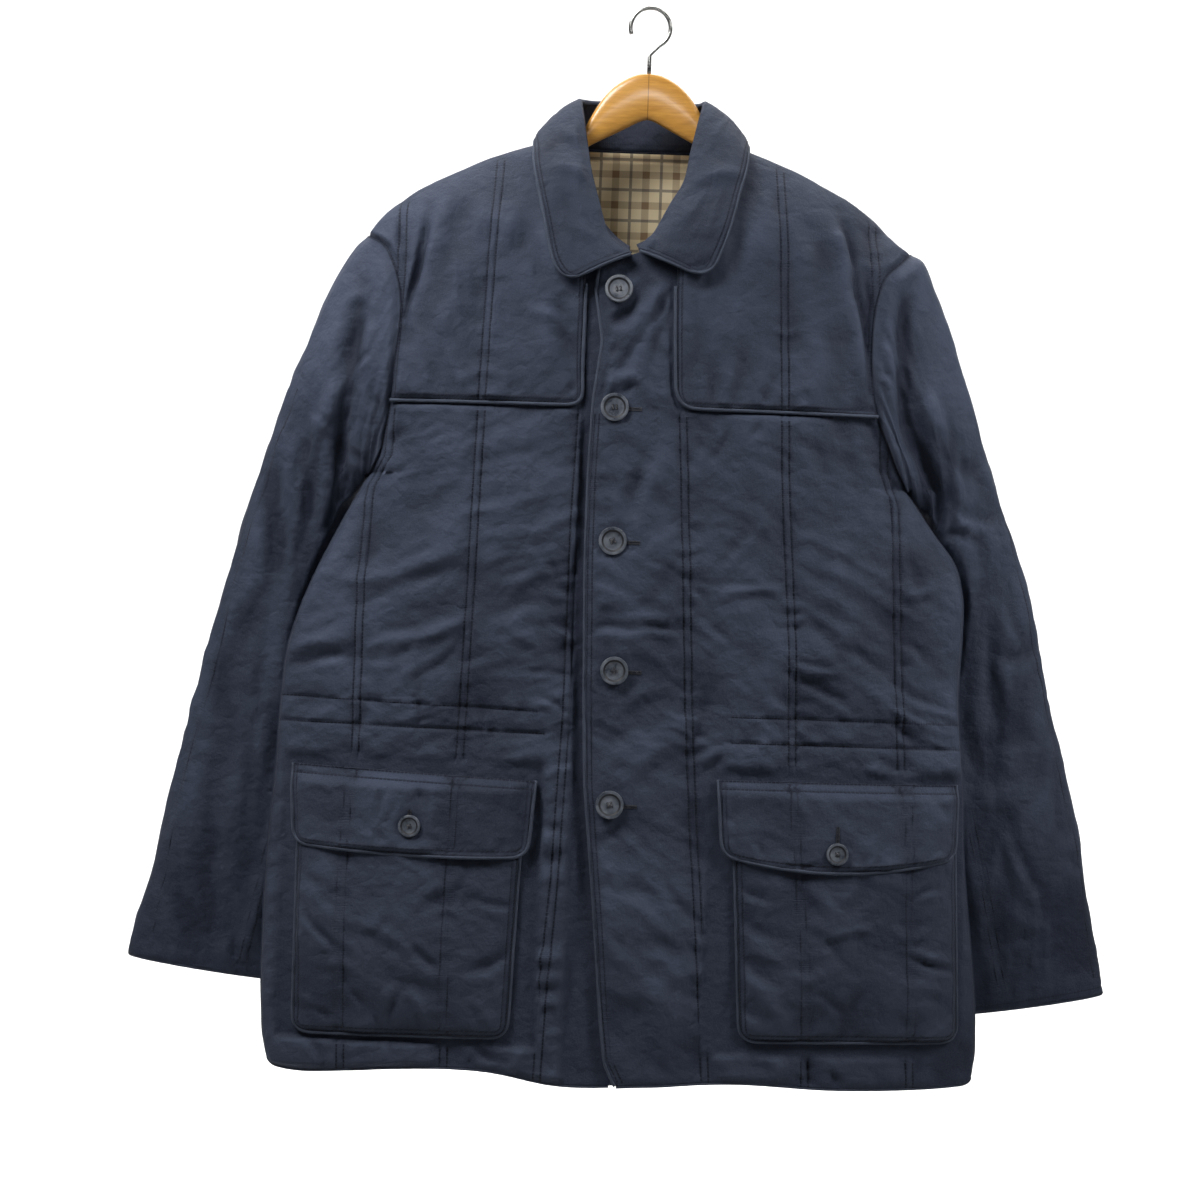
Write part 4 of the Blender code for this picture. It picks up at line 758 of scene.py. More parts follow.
# %% Back panel
def build_back():
    guides = [outline(LEVELS, 1)] + [np.full_like(LEVELS, x) for x in BACK_ROWS_X]
    guides = kept_apart(guides + [outline(LEVELS, 2)])
    x = fine_columns(guides, BACK_COLUMN_STEP)
    down = levels_for(x)
    points = place(x, back_y(x, down), down)
    normals = surface_normals(back_y, x, down, 1)
    normals = edge_turned(edge_turned(normals, 0, 1), -1, 2)
    rows = [[(0, at), (1000, at)] for at in BACK_ROWS_X]
    height, line, along = quilting(x, down, rows, 60, 0)
    height = height + creases(BACK_CREASES, x, down) + unevenness(x, down, 7, 20)
    hem = np.clip(down[-1] - down, 0, 60)
    height = height * edge_share(x, down, 1) * edge_share(x, down, 2) * ramp(hem, 0, 5)
    height = height * ramp(down, TOP, TOP + 14)
    outer = points + normals * height[..., None]
    inner = inner_side(points, normals, height)
    sew("back", outer, inner, x, -down, line, along, height)
    return points, normals


back = build_back()

# %% [markdown]
# ## Sleeves
# Each sleeve starts as a ring on the armhole seam and is swept down to the cuff through
# tables of its outer and inner edge. It hangs a little behind the body. Its creases are
# given as they are seen from the front, and the hidden side gets similar ones.

# %% Sleeve tables
# outer edge x, down, y; inner edge x, down, y; half depth
SLEEVE = {1: [
    (-229.5, 199, 1, -221, 397, -22, 35), (-236.5, 207.5, 1, -222.8, 399.5, -21, 35),
    (-250, 227, 1, -223, 402, -15, 36), (-263, 255, 2, -224.5, 406, -8, 36),
    (-277, 288, 4, -228, 414, 1, 36), (-290, 322, 5, -231, 428, 10, 35),
    (-304, 358, 7, -227, 449, 18, 34), (-317, 396, 9, -221, 475, 25, 33),
    (-330, 441, 11, -216, 512, 30, 32), (-344, 497, 13, -217, 562, 34, 31),
    (-357, 555, 15, -222, 620, 36, 30), (-370, 615, 17, -234, 680, 37, 29),
    (-384, 680, 19, -248, 734, 37, 28), (-397, 738, 20, -262, 780, 36, 27),
    (-409, 783, 21, -273, 813, 35, 26), (-415, 809, 22, -280, 828, 34, 26)], 2: [
    (223.5, 199, 1, 226, 397, -22, 35), (233, 207, 1, 228, 399.5, -21, 35),
    (244, 229, 1, 228.5, 402, -15, 36), (256, 258, 2, 231, 406, -8, 36),
    (267, 290, 4, 236, 414, 1, 36), (279, 322, 5, 241, 428, 10, 35),
    (292, 355, 7, 236, 449, 18, 34), (306, 393, 9, 227, 475, 25, 33),
    (322, 440, 11, 219, 512, 30, 32), (340, 497, 13, 217, 562, 34, 31),
    (354, 556, 15, 222, 620, 36, 30), (369, 614, 17, 234, 680, 37, 29),
    (384, 680, 19, 248, 734, 37, 28), (397, 739, 20, 262, 782, 36, 27),
    (407, 785, 21, 273, 819, 35, 26), (412, 814, 22, 280, 838, 34, 26)]}
ARMHOLE_FADE = 7         # rows of the table over which the armhole's own line fades out
BEHIND_BODY, BESIDE_BODY, UNDERARM_CHECK = 6.0, 9.0, 398
# big folds: share of the length and share of the way round, of both ends; half width, height, face
SLEEVE_FOLDS = [
    (0.12, 0.30, 0.55, 0.42, 9, 4.0, 1), (0.20, 0.62, 0.50, 0.66, 8, -3.5, 1),
    (0.45, 0.22, 0.85, 0.50, 9, -3.5, 1), (0.60, 0.62, 0.95, 0.70, 8, 3.5, 1),
    (0.15, 0.35, 0.60, 0.50, 10, 4.0, -1), (0.50, 0.30, 0.90, 0.55, 9, -3.5, -1)]
# creases as seen from the front: x, down of both ends, bow, half width, height
SLEEVE_CREASES = {1: [
    (-231, 244, -241, 350, -3, 8, -4.6), (-238, 335, -244, 400, -4, 7, -4.4),
    (-244, 390, -252, 440, 2, 7, -4.2), (-222, 262, -226, 330, 2, 6, 1.6),
    (-243, 258, -232, 248, 0, 4, 1.6), (-236, 312, -222, 300, 2, 3.6, -1.6),
    (-268, 369, -277, 398, -3, 6, -3.4), (-277, 398, -273, 457, 4, 6, -3),
    (-298, 401, -301, 437, -2, 7, -3), (-301, 437, -296, 508, 4, 8, -3),
    (-251, 392, -262, 446, 4, 8, 2.6), (-287, 388, -290, 450, -3, 8, 2.2),
    (-220, 332, -214, 357, 3, 5, -2), (-272, 346, -256, 360, 2, 2.6, -1.2),
    (-240, 381, -221, 396, 3, 4, -1), (-295, 439, -303, 490, -2, 8, -3),
    (-303, 490, -321, 553, -4, 9, -2.8), (-329, 528, -341, 629, -5, 9, -3.4),
    (-341, 629, -346, 730, -4, 9, -3), (-312, 580, -324, 674, 5, 11, 2.4),
    (-326, 679, -336, 767, 4, 11, 2), (-281, 456, -278, 470, 0, 3, -1.4),
    (-364, 621, -341, 627, 2, 3, -1.2), (-357, 582, -369, 618, -3, 5, 1.2),
    (-371, 691, -380, 719, -3, 5, 1.2), (-299, 600, -292, 645, 3, 7, -1.6),
    (-352, 740, -343, 785, 3, 6, -1.6), (-311, 764, -298, 779, 2, 3, -1.2),
    (-377, 751, -365, 799, 3, 7, -1.2), (-325, 792, -322, 812, 0, 3, -1.1)], 2: [
    (198, 248, 193, 289, 3, 5, -1.8), (199, 279, 208, 304, 2, 4, 1.4), (194, 303, 208, 307, 2, 3, -1.2),
    (223, 226, 219, 300, -3, 7, -4.8), (219, 286, 226, 362, -4, 8, -5.0),
    (225, 345, 249, 418, 5, 9, -4.6), (206, 300, 212, 352, 2, 6, 1.8), (244, 310, 251, 356, -5, 9, 2.4),
    (261, 341, 270, 384, -4, 7, -1.8), (270, 374, 282, 389, 3, 8, -1.6),
    (276, 413, 305, 417, -3, 4, -1.6), (271, 410, 287, 425, -2, 3, -1.8), (269, 424, 295, 432, 3, 5, 1.4),
    (259, 432, 280, 436, 3, 4, -1), (292, 365, 304, 403, -3, 5, 1.4), (290, 491, 299, 474, 3, 6, -1.2),
    (327, 679, 347, 719, -2, 5, -2.4), (347, 719, 363, 754, 2, 6, -2), (301, 779, 381, 766, 3, 2.6, -1),
    (309, 533, 340, 524, -3, 6, -1.8), (306, 605, 335, 602, 4, 8, -1.8),
    (307, 568, 328, 595, -4, 8, -2.4), (317, 495, 336, 524, -3, 4, -1.6),
    (373, 699, 391, 705, -2, 4, -1.3), (292, 659, 329, 647, 3, 7, 1.4), (342, 567, 357, 630, -4, 9, 1.6),
    (306, 691, 327, 669, 3, 6, -1.4), (363, 641, 373, 683, -3, 6, -1), (311, 538, 318, 567, 2, 6, 1.2),
    (284, 590, 304, 632, -4, 7, -1.6), (357, 759, 327, 744, 3, 6, 1)]}
# stitched seam lines on the sleeves, seen from the front, from the top down
SLEEVE_SEAMS = {
    1: [[(-282, 329), (-299, 373), (-331, 486), (-343, 551), (-363, 633), (-376, 696), (-392, 790)],
        [(-298, 706), (-319, 812)], [(-292, 706), (-313, 812)]],
    2: [[(312, 418), (334, 497), (359, 603), (387, 709), (402, 800)],
        [(284, 660), (302, 718), (321, 816)], [(290, 656), (308, 716), (327, 816)]]}


def behind(x, down):
    """y that a sleeve has to stay behind, where it hangs at the back of the body."""
    side = np.where(x < 0, 1, 2)
    edge = np.where(side == 1, -outline(down, 1), outline(down, 2))
    reach = np.abs(x) - BESIDE_BODY * ramp(down, UNDERARM_CHECK, UNDERARM_CHECK + 34)
    limit = back_y(np.clip(reach, 0, edge) * np.sign(x), down) + BEHIND_BODY
    limit = limit - 1.4 * np.maximum(reach - edge, 0)
    return np.where(down > UNDERARM_CHECK, limit, -1e3)


# %% Sleeves
RINGS = 144


def sleeve_grid(side, front):
    """Rings from the armhole to the cuff, with each point's share of the way and its face."""
    table = np.asarray(SLEEVE[side], float)
    column = 0 if side == 1 else -1
    rows = [r for r, level in enumerate(LEVELS) if TIP <= level <= UNDERARM]
    ring0 = np.concatenate([front[2][rows, 0], back[0][rows, column][1:-1][::-1]])
    levels = LEVELS[rows]
    share = (levels - TIP) / (UNDERARM - TIP)
    share = np.concatenate([share, share[1:-1][::-1]])
    half = len(rows)
    facing = np.array([-1.0] * half + [1.0] * (len(share) - half))
    facing[0] = facing[half - 1] = 0
    depth = np.sqrt(np.clip(1 - (2 * share - 1) ** 2, 0, 1)) ** 0.85
    key = np.column_stack([np.arange(len(table)), table])

    def formula(k):
        row = [float(smooth(key, c, k)) for c in range(1, 8)]
        x = row[0] + (row[3] - row[0]) * share
        down = row[1] + (row[4] - row[1]) * share
        y = row[2] + (row[5] - row[2]) * share + facing * row[6] * depth
        return place(x, y, down)

    start = formula(0.0)
    rings = []
    for k in np.linspace(0, 1, RINGS) ** 1.15 * (len(table) - 1):
        ring = formula(k) + (1 - ramp(k, 0, ARMHOLE_FADE)) * (ring0 - start)
        along = k / (len(table) - 1)
        lift = np.zeros(len(share))
        for s0, p0, s1, p1, half_width, rise, face in SLEEVE_FOLDS:
            f = np.clip((along - s0) / (s1 - s0), 0, 1)
            away = (share - (p0 + f * (p1 - p0))) * 150
            lift += (facing == -face) * rise * np.sin(math.pi * f) * np.exp(-(away / half_width) ** 2)
        ring[:, 1] += facing * lift
        limit = behind(ring[:, 0], -ring[:, 2])
        if k > 0:
            ring[:half, 1] = np.maximum(ring[:half, 1], limit[:half])
            twin = len(share) - np.arange(half, len(share))
            ring[half:, 1] = np.maximum(ring[half:, 1], ring[twin, 1] + 16 * depth[half:])
        rings.append(ring)
    return np.array(rings), share, facing


SLEEVE_HEAD = 1.2        # fullness eased into the top of the sleeve
HEAD_RISE = 1.9          # the sleeve's edge comes up level with the storm flap's
UNDERARM_THIN = 26.0     # how far from the underarm point the wall gets thinner, where it is folded


def build_sleeve(side, front):
    grid, share, facing = sleeve_grid(side, front)
    normals = grid_normals(grid, tube=True)
    middle = grid.mean(axis=1, keepdims=True)
    if np.sum((grid - middle) * normals) < 0:
        normals = -normals
    x, down = grid[..., 0], -grid[..., 2]
    run = np.linalg.norm(np.diff(grid, axis=0), axis=-1).mean(axis=1)
    v = added_up(run)[:, None] * np.ones((1, len(share)))
    girth = np.linalg.norm(np.roll(grid, -1, axis=1) - grid, axis=-1)
    u = np.concatenate([np.zeros((len(grid), 1)), np.cumsum(girth, axis=1)[:, :-1]], axis=1)
    table = SLEEVE_CREASES[side]
    height = creases(table, x, down) * (facing < 0)
    mirrored = [(x1, d1, x0, d0, bow, w, h) for x0, d0, x1, d1, bow, w, h in table]
    height = height + creases(mirrored, x, down) * (facing > 0) * 0.8
    height = height + 0.8 * unevenness(u, v, 20 + side, 70)
    cuff = v[-1:] - v
    height = height + groove(np.abs(cuff - 6)) + puckers(u, cuff, 70 + side, 1.6, 8.0, 8.0)
    line = np.abs(cuff - 6)
    along = u + 0.0
    for seam in SLEEVE_SEAMS[side]:
        seam = np.asarray(seam, float)
        seam_x = np.interp(down, seam[:, 1], seam[:, 0])
        reach = (down > seam[0, 1]) & (down < seam[-1, 1]) & (facing < 0)
        away = np.where(reach, np.abs(x - seam_x), FAR)
        height = height + groove(away, 0.55, 1.3) + puckers(v, away, 75 + side, 1.2, 6.0, 9.0)
        along = np.where(away < line, v, along)
        line = np.minimum(line, away)
    height = height * ramp(v, 0, 9) * ramp(cuff, 0, 4)
    beside_flap = np.where(facing > 0, 1 - ramp(share, 0, 0.12), 1 - ramp(share, 0.45, 0.75))[None, :]
    height = height - 0.9 * np.exp(-(v / 1.8) ** 2) * (1 - beside_flap)
    height = height + HEAD_RISE * beside_flap * (1 - ramp(v, 2, 26))
    height = np.where(down > UNDERARM, np.maximum(height, -2.0), height)
    inner_edge = ramp(share, 0.8, 1.0)[None, :]
    height = height * (1 - 0.8 * inner_edge)
    height = height + SLEEVE_HEAD * ramp(v, 1.5, 9) * (1 - ramp(v, 60, 140)) * (1 - inner_edge)
    # the armhole seam's line of painted shade
    line = np.minimum(line, SEAM_LINE + SEAM_LINE * v)
    outer = grid + normals * height[..., None]
    pit = np.exp(-((np.abs(x) - 224) ** 2 + (down - UNDERARM) ** 2) / UNDERARM_THIN ** 2)
    inner = outer + (inner_side(grid, normals, height) - outer) * (1 - 0.8 * pit)[..., None]
    sew(SIDE_WORD[side] + "_sleeve", outer, inner, u, -v, line, along, height, tube=True)
    return outer, normals


sleeves = {side: build_sleeve(side, fronts[side]) for side in (1, 2)}

# %% [markdown]
# ## Storm flaps
# A storm flap is a second layer over each shoulder, sewn in at shoulder and armhole and loose
# below. Its grid is the front's own, moved out by its thickness, so both keep the same folds.

# %% Storm flaps
FLAP_ROUND = 9.0
# the ditch's darkness is partly its depth and partly painted shade that the material lays along it
DITCH, DITCH_IN = 0.55, 1.0       # the dark ditch along the inside of a piping: depth and place


def build_storm_flap(side, front):
    name = SIDE_WORD[side] + "_storm_flap"
    x, down, _, normals = front
    bottom = int(np.argmin(np.abs(LEVELS - STORM_FLAP_ROW)))
    column = int(np.argmin(np.abs(x[bottom] - straight(ROWS[side][0], STORM_FLAP_ROW))))
    part = (slice(1, bottom + 1), slice(0, column + 1))
    x, down, normals = x[part].copy(), down[part], normals[part].copy()
    surface = FRONT_Y[side]
    inward = 1.0 if side == 1 else -1.0
    left = np.clip(STORM_FLAP_ROW - down, 0, FLAP_ROUND)
    inset = FLAP_ROUND - np.sqrt(np.clip(FLAP_ROUND ** 2 - (FLAP_ROUND - left) ** 2, 0, None))
    near = ramp(inward * (x - x[:, -1:]), -30, 0)
    x = x - inward * inset * near
    points = place(x, surface(x, down), down)
    lifted = surface_normals(surface, x, down, -1)
    mix = np.where(np.arange(x.shape[1]) > 0, 0.5, 0.0)[:, None]
    away = unit(normals * mix + lifted * (1 - mix))
    height, line, along = quilting(x, down, ROWS[side][1:], 80 + side)
    height = height + creases(CREASES, x, down) + 0.7 * unevenness(x, down, side, 80)
    from_edge = np.minimum(inward * (x[:, -1:] - x), STORM_FLAP_ROW - down)
    height = height + groove(np.abs(from_edge - 4.0), 0.4)
    height = height + puckers(x + down, from_edge, 90 + side, 1.1, 6.0)
    height = height - DITCH * np.exp(-((from_edge - DITCH_IN) / 0.9) ** 2)
    along = np.where(from_edge < line, x + down, along)
    # the stitched line 4 mm in, and the ditch, which the material darkens with painted shade
    line = np.minimum(line, np.minimum(np.abs(from_edge - 4.0), np.abs(from_edge - DITCH_IN)))
    height = height * ramp(from_edge, 0, 5) * edge_share(x, down, side, 6)
    height = height * (0.4 + 0.6 * ramp(down, 150, 205))
    thickness = THIN_WALL * (0.3 + 0.7 * edge_share(x, down, side, 9))
    line = with_seam_line(line, x, down, side)
    inner = points + away * (SEAM_GAP + np.minimum(height, 0))[..., None]
    outer = points + away * (SEAM_GAP + thickness + height)[..., None]
    sew(name, outer, inner, x, -down, line, along, height)
    start = int(np.argmin(np.abs(LEVELS - 238))) - 1
    border_x = np.concatenate([x[start:, -1], x[-1, -2::-1]])
    border_down = np.concatenate([down[start:, -1], down[-1, -2::-1]])
    return outside_line(border_x, border_down, surface, CORD_RADIUS * 0.6, 2.6, inward)


def outside_line(x, down, surface, reach, lift, turn=1.0):
    """The border's own line, moved out sideways and lifted off the panel."""
    run = np.stack([np.gradient(x), np.gradient(down)])
    run = run / np.maximum(np.hypot(*run), 1e-6)
    x, down = x + turn * run[1] * reach, down - turn * run[0] * reach
    return place(x, surface(x, down), down) + surface_normals(surface, x, down, -1) * lift


CORDS = {SIDE_WORD[side] + "_storm_flap_piping": build_storm_flap(side, fronts[side])
         for side in (1, 2)}

# %% [markdown]
# ## Pockets and their flaps
# A patch pocket is cut with two rounded corners and sewn on round three sides, a little full,
# so it stands off the front. The flap is sewn along its top edge and lies over the pocket.

# %% Patch shapes
def corner_inset(v, length):
    left = np.clip(length * (1 - v), 0, CORNER)
    return CORNER - np.sqrt(np.clip(CORNER ** 2 - (CORNER - left) ** 2, 0, None))


def patch_points(corners, u, v):
    """x and down at a share u of the way across and v of the way down."""
    (ax, ad), (bx, bd), (cx, cd), (dx, dd), bow = corners
    length = (cd + dd - ad - bd) / 2
    left = ax + (dx - ax) * v + corner_inset(v, length)
    right = bx + (cx - bx) * v - corner_inset(v, length)
    down = (ad + (bd - ad) * u) * (1 - v) + (dd + (cd - dd) * u + bow * 4 * u * (1 - u)) * v
    return left + (right - left) * u, down


def patch_share(corners, x, down):
    """The other way round: u and v at a place."""
    (ax, ad), (bx, bd), (cx, cd), (dx, dd) = corners[:4]
    v = np.clip((down - (ad + bd) / 2) / ((cd + dd - ad - bd) / 2), 0, 1)
    left, right = ax + (dx - ax) * v, bx + (cx - bx) * v
    return np.clip((x - left) / (right - left), 0, 1), v


def pocket_height(corners, x, down):
    u, v = patch_share(corners, x, down)
    across = (1 - np.abs(2 * u - 1) ** 5) ** 0.7
    along = (1 - v ** 7) ** 0.7
    return 0.9 + POCKET_BULGE * across * along * (0.62 + 0.38 * np.sin(math.pi * (0.25 + 0.6 * v)))


def flap_height(side, x, down):
    v = patch_share(FLAP[side], x, down)[1]
    over_pocket = pocket_height(POCKET[side], x, down) + THIN_WALL + FLAP_EASE
    return FLAP_FOOT + (over_pocket - FLAP_FOOT) * ramp(v, 0, 0.22)


def patch_border(corners, count=60):
    """Down one side, along the bottom and up the other, evenly spaced."""
    v = np.concatenate([np.linspace(0, 0.8, 20), 1 - 0.2 * (1 - np.linspace(0, 1, 24)[1:]) ** 2])
    u = np.linspace(0, 1, count)[1:-1]
    left = patch_points(corners, np.zeros_like(v), v)
    bottom = patch_points(corners, u, np.ones_like(u))
    right = patch_points(corners, np.ones_like(v), v[::-1])
    return [np.concatenate([left[k], bottom[k], right[k]]) for k in (0, 1)]


def to_sides(corners, x, down):
    """Distance to the nearest of the two sides and the bottom."""
    (ax, ad), (bx, bd), (cx, cd), (dx, dd), bow = corners
    v = (down - (ad + bd) / 2) / ((cd + dd - ad - bd) / 2)
    left, right = x - (ax + (dx - ax) * v), (bx + (cx - bx) * v) - x
    share = np.clip((x - dx) / (cx - dx), 0, 1)
    bottom = dd + (cd - dd) * share + bow * 4 * share * (1 - share) - down
    near = np.minimum(left, right)
    corner = CORNER - np.hypot(np.maximum(CORNER - near, 0), np.maximum(CORNER - bottom, 0))
    return np.where((near < CORNER) & (bottom < CORNER), corner, np.minimum(near, bottom))


# %% Pockets and flaps
PATCH_ROW, PATCH_COLUMNS = 2.6, 76
NEAR_BOTTOM, NEAR_TOP = np.array([5.0, 4.0, 3.0, 1.5, 0.7]), np.array([0.7, 1.4, 5.6, 6.3, 7.0, 7.7, 8.6])
NEAR_SIDE = np.array([0.006, 0.014, 0.02, 0.027])
PATCH_STITCH, TOP_STITCH = 4.5, 7.0      # how far the stitches are from the edges


def build_patch(is_flap, side):
    corners = (FLAP if is_flap else POCKET)[side]
    name = SIDE_WORD[side] + ("_pocket_flap" if is_flap else "_pocket")
    surface = FRONT_Y[side]
    tall = corners[3][1] - corners[0][1]
    v = np.concatenate([np.linspace(0, 1, int(tall / PATCH_ROW)), 1 - NEAR_BOTTOM / tall])
    if is_flap:
        v = np.concatenate([v, NEAR_TOP / tall])
    u = np.concatenate([np.linspace(0, 1, PATCH_COLUMNS), NEAR_SIDE, 1 - NEAR_SIDE])
    u, v = np.meshgrid(np.unique(u), np.unique(v))
    x, down = patch_points(corners, u, v)
    normals = surface_normals(surface, x, down, -1)
    points = place(x, surface(x, down), down)
    if is_flap:
        base = flap_height(side, x, down) + 1.2 * (1 - ramp(v, 0, 0.3))
    else:
        base = pocket_height(corners, x, down)
    height, line, along = quilting(x, down, ROWS[side][1:], 100 + side + 5 * is_flap)
    height = 0.85 * height + creases(CREASES, x, down) + 0.7 * unevenness(x, down, 30 + side, 35)
    near = to_sides(corners, x, down)
    stitched = np.abs(near - PATCH_STITCH)
    height = height + groove(stitched, 0.4)
    height = height + puckers(x * 0.8 + down, near, 110 + side, 1.8, 7.0, 8.0)
    height = height - DITCH * np.exp(-((near - DITCH_IN) / 0.9) ** 2)
    along = np.where(near < line, x * 0.8 + down, along)
    # the ditch inside the piping also gets painted shade
    stitched = np.minimum(stitched, np.abs(near - DITCH_IN))
    if is_flap:
        top = down - (corners[0][1] + (corners[1][1] - corners[0][1]) * u)
        top_stitched = np.abs(top - TOP_STITCH)
        # the flap's top edge gets a thin line of painted shade where it meets the front
        stitched = np.minimum(stitched, np.minimum(top_stitched, np.abs(top) * 0.5))
        height = height + groove(top_stitched, 0.9) + puckers(x, top, 120 + side, 1.8, 7.0, 5.5)
        along = np.where(top_stitched < line, x, along)
        height = height * (0.3 + 0.7 * ramp(top, 0, 5))
    line = np.minimum(line, stitched)
    height = height * ramp(near, 0, 5)
    if is_flap:
        free = free_of_buttons(x, down, [FLAP_BUTTONS[side - 1][2:4]], 11.0)
        height = height * free - 0.4 * (1 - free)
    height = np.maximum(height, -1.3 if is_flap else -1.6)
    inner = points + normals * (base + 0.4)[..., None]
    outer = points + normals * (base + THIN_WALL + height)[..., None]
    COVER[name] = (x, down, base + THIN_WALL + height)
    sew(name, outer, inner, x, -down, line, along, height)
    border_x, border_down = patch_border(corners)
    lift = np.full((len(border_x), 1), 2.6)
    if is_flap:
        lift = (flap_height(side, border_x, border_down) + THIN_WALL * 0.65)[:, None]
    CORDS[name + "_piping"] = outside_line(
        border_x, border_down, surface, CORD_RADIUS * 0.5, lift, -1.0)


for is_flap in (False, True):
    for side in (1, 2):
        build_patch(is_flap, side)

# %% [markdown]
# ## Collar
# The collar is one piece: a stand up from the neck seam, a roll over the top, and the leaf
# down to its corded edge. Its sections come from a table of neck seam, fold and leaf edge.
# A coarse grid of those is refined along smooth curves both ways.

# %% Collar
# sewn edge x, down, y; fold x, down, y; leaf edge x, down, y
COLLAR = [
    (-11, 205, -50, -10, 211, -65, -60, 236, -70), (-20, 199, -49, -20, 205, -63, -70, 230, -69),
    (-29, 190, -46, -30, 194, -59, -77, 216, -67), (-41, 174, -42, -38, 168, -51, -84, 186, -60),
    (-51, 153, -33, -45, 143, -42, -91, 156, -49), (-58, 132, -24, -49, 121, -30, -95, 137, -39),
    (-64, 116, -12, -54, 93, -16, -96, 124, -25), (-68, 113.5, 1, -58, 77, 0, -96, 112, 3),
    (-66, 113.5, 17, -57, 73, 20, -92, 119, 30), (-54, 113.5, 31, -48, 72, 34, -80, 132, 50),
    (-32, 113.5, 38, -32, 71, 43, -54, 143, 61), (-4, 113.5, 40, -6, 71, 48, -4, 148, 65),
    (24, 113.5, 38, 20, 71, 43, 44, 143, 61), (46, 113.5, 31, 37, 72, 34, 72, 132, 50),
    (58, 113.5, 17, 46, 73, 20, 84, 119, 30), (61, 113.5, 1, 49, 75, 0, 88, 112, 3),
    (57, 116, -12, 44, 91, -16, 87, 122, -25), (51, 132, -24, 37, 121, -30, 85, 137, -39),
    (43, 152, -33, 32, 147, -42, 80, 156, -49), (30, 171, -42, 21, 168, -51, 73, 186, -61),
    (14, 187, -47, 9, 192, -59, 65, 210, -67), (3, 198, -49, 2, 200, -63, 58, 224, -69),
    (-6, 203, -50, -4, 208, -65, 47, 229, -70)]
COLLAR_BULGE, COLLAR_ROLL, END_ROLL = 3.5, 3.0, 1.9
COLLAR_CREASES = [
    (-72, 108, -52, 124, 3, 3.5, 0.9), (-76, 140, -46, 150, 3, 4, 0.8),
    (36, 150, 78, 141, 3, 4, 0.9), (30, 196, 66, 190, 3, 4, 0.6), (-60, 190, -34, 208, 3, 5, 0.7)]
ACROSS_COLLAR, ALONG_COLLAR, FOLD_ROW = 73, 150, 36     # rows, columns, and the row of the fold
LEAF_ROWS = (38, 46)     # rows over which the leaf's own relief begins
INSIDE_NECK = np.array([-4.0, 5.0, -150.0])


def refined(grid, rows, columns):
    """A grid of points made finer along smooth curves through its own points."""
    def finer(line, count):
        key = np.arange(len(line))
        at = np.linspace(0, len(line) - 1, count)
        return np.stack([smooth(np.column_stack([key, line[:, k]]), 1, at) for k in range(3)], axis=-1)

    tall = np.stack([finer(grid[:, c], rows) for c in range(grid.shape[1])], axis=1)
    return np.stack([finer(row, columns) for row in tall], axis=0)


def collar_grid():
    """Sections of the collar, each from the neck seam up, over the roll and down the leaf."""
    table = np.asarray(COLLAR, float)
    sewn, fold, edge = (place(table[:, k], table[:, k + 2], table[:, k + 1]) for k in (0, 3, 6))
    fall = edge - fold
    out = unit(np.cross(fall, np.gradient(fold, axis=0)))
    from_neck = (edge - np.array([-5, 0, -150])) * np.array([1, 1, 0.2])
    out = out * np.sign(np.sum(out * from_neck, axis=1))[:, None]
    down_leaf = unit(fall)
    edge = edge - down_leaf * (2 * CORD_RADIUS)
    from_end = np.minimum(np.arange(len(table)), np.arange(len(table))[::-1])
    roll = (END_ROLL + (COLLAR_ROLL - END_ROLL) * ramp(from_end.astype(float), 1, 4))[:, None]
    fold = fold + down_leaf * roll * 0.7
    fall = edge - fold
    stand_top = fold - out * 2 * roll
    stations = [sewn, sewn + (stand_top - sewn) * 0.5]
    for turn in (180, 135, 90, 45, 0):
        across, up = math.cos(math.radians(turn)), math.sin(math.radians(turn))
        stations.append(fold + out * roll * (across - 1) - down_leaf * roll * up)
    for share in (0.09, 0.25, 0.45, 0.65, 0.84, 1.0):
        rise = COLLAR_BULGE * (4 * share * (1 - share)) ** 0.8
        stations.append(fold + fall * share + out * rise)
    return np.stack(stations, axis=0)


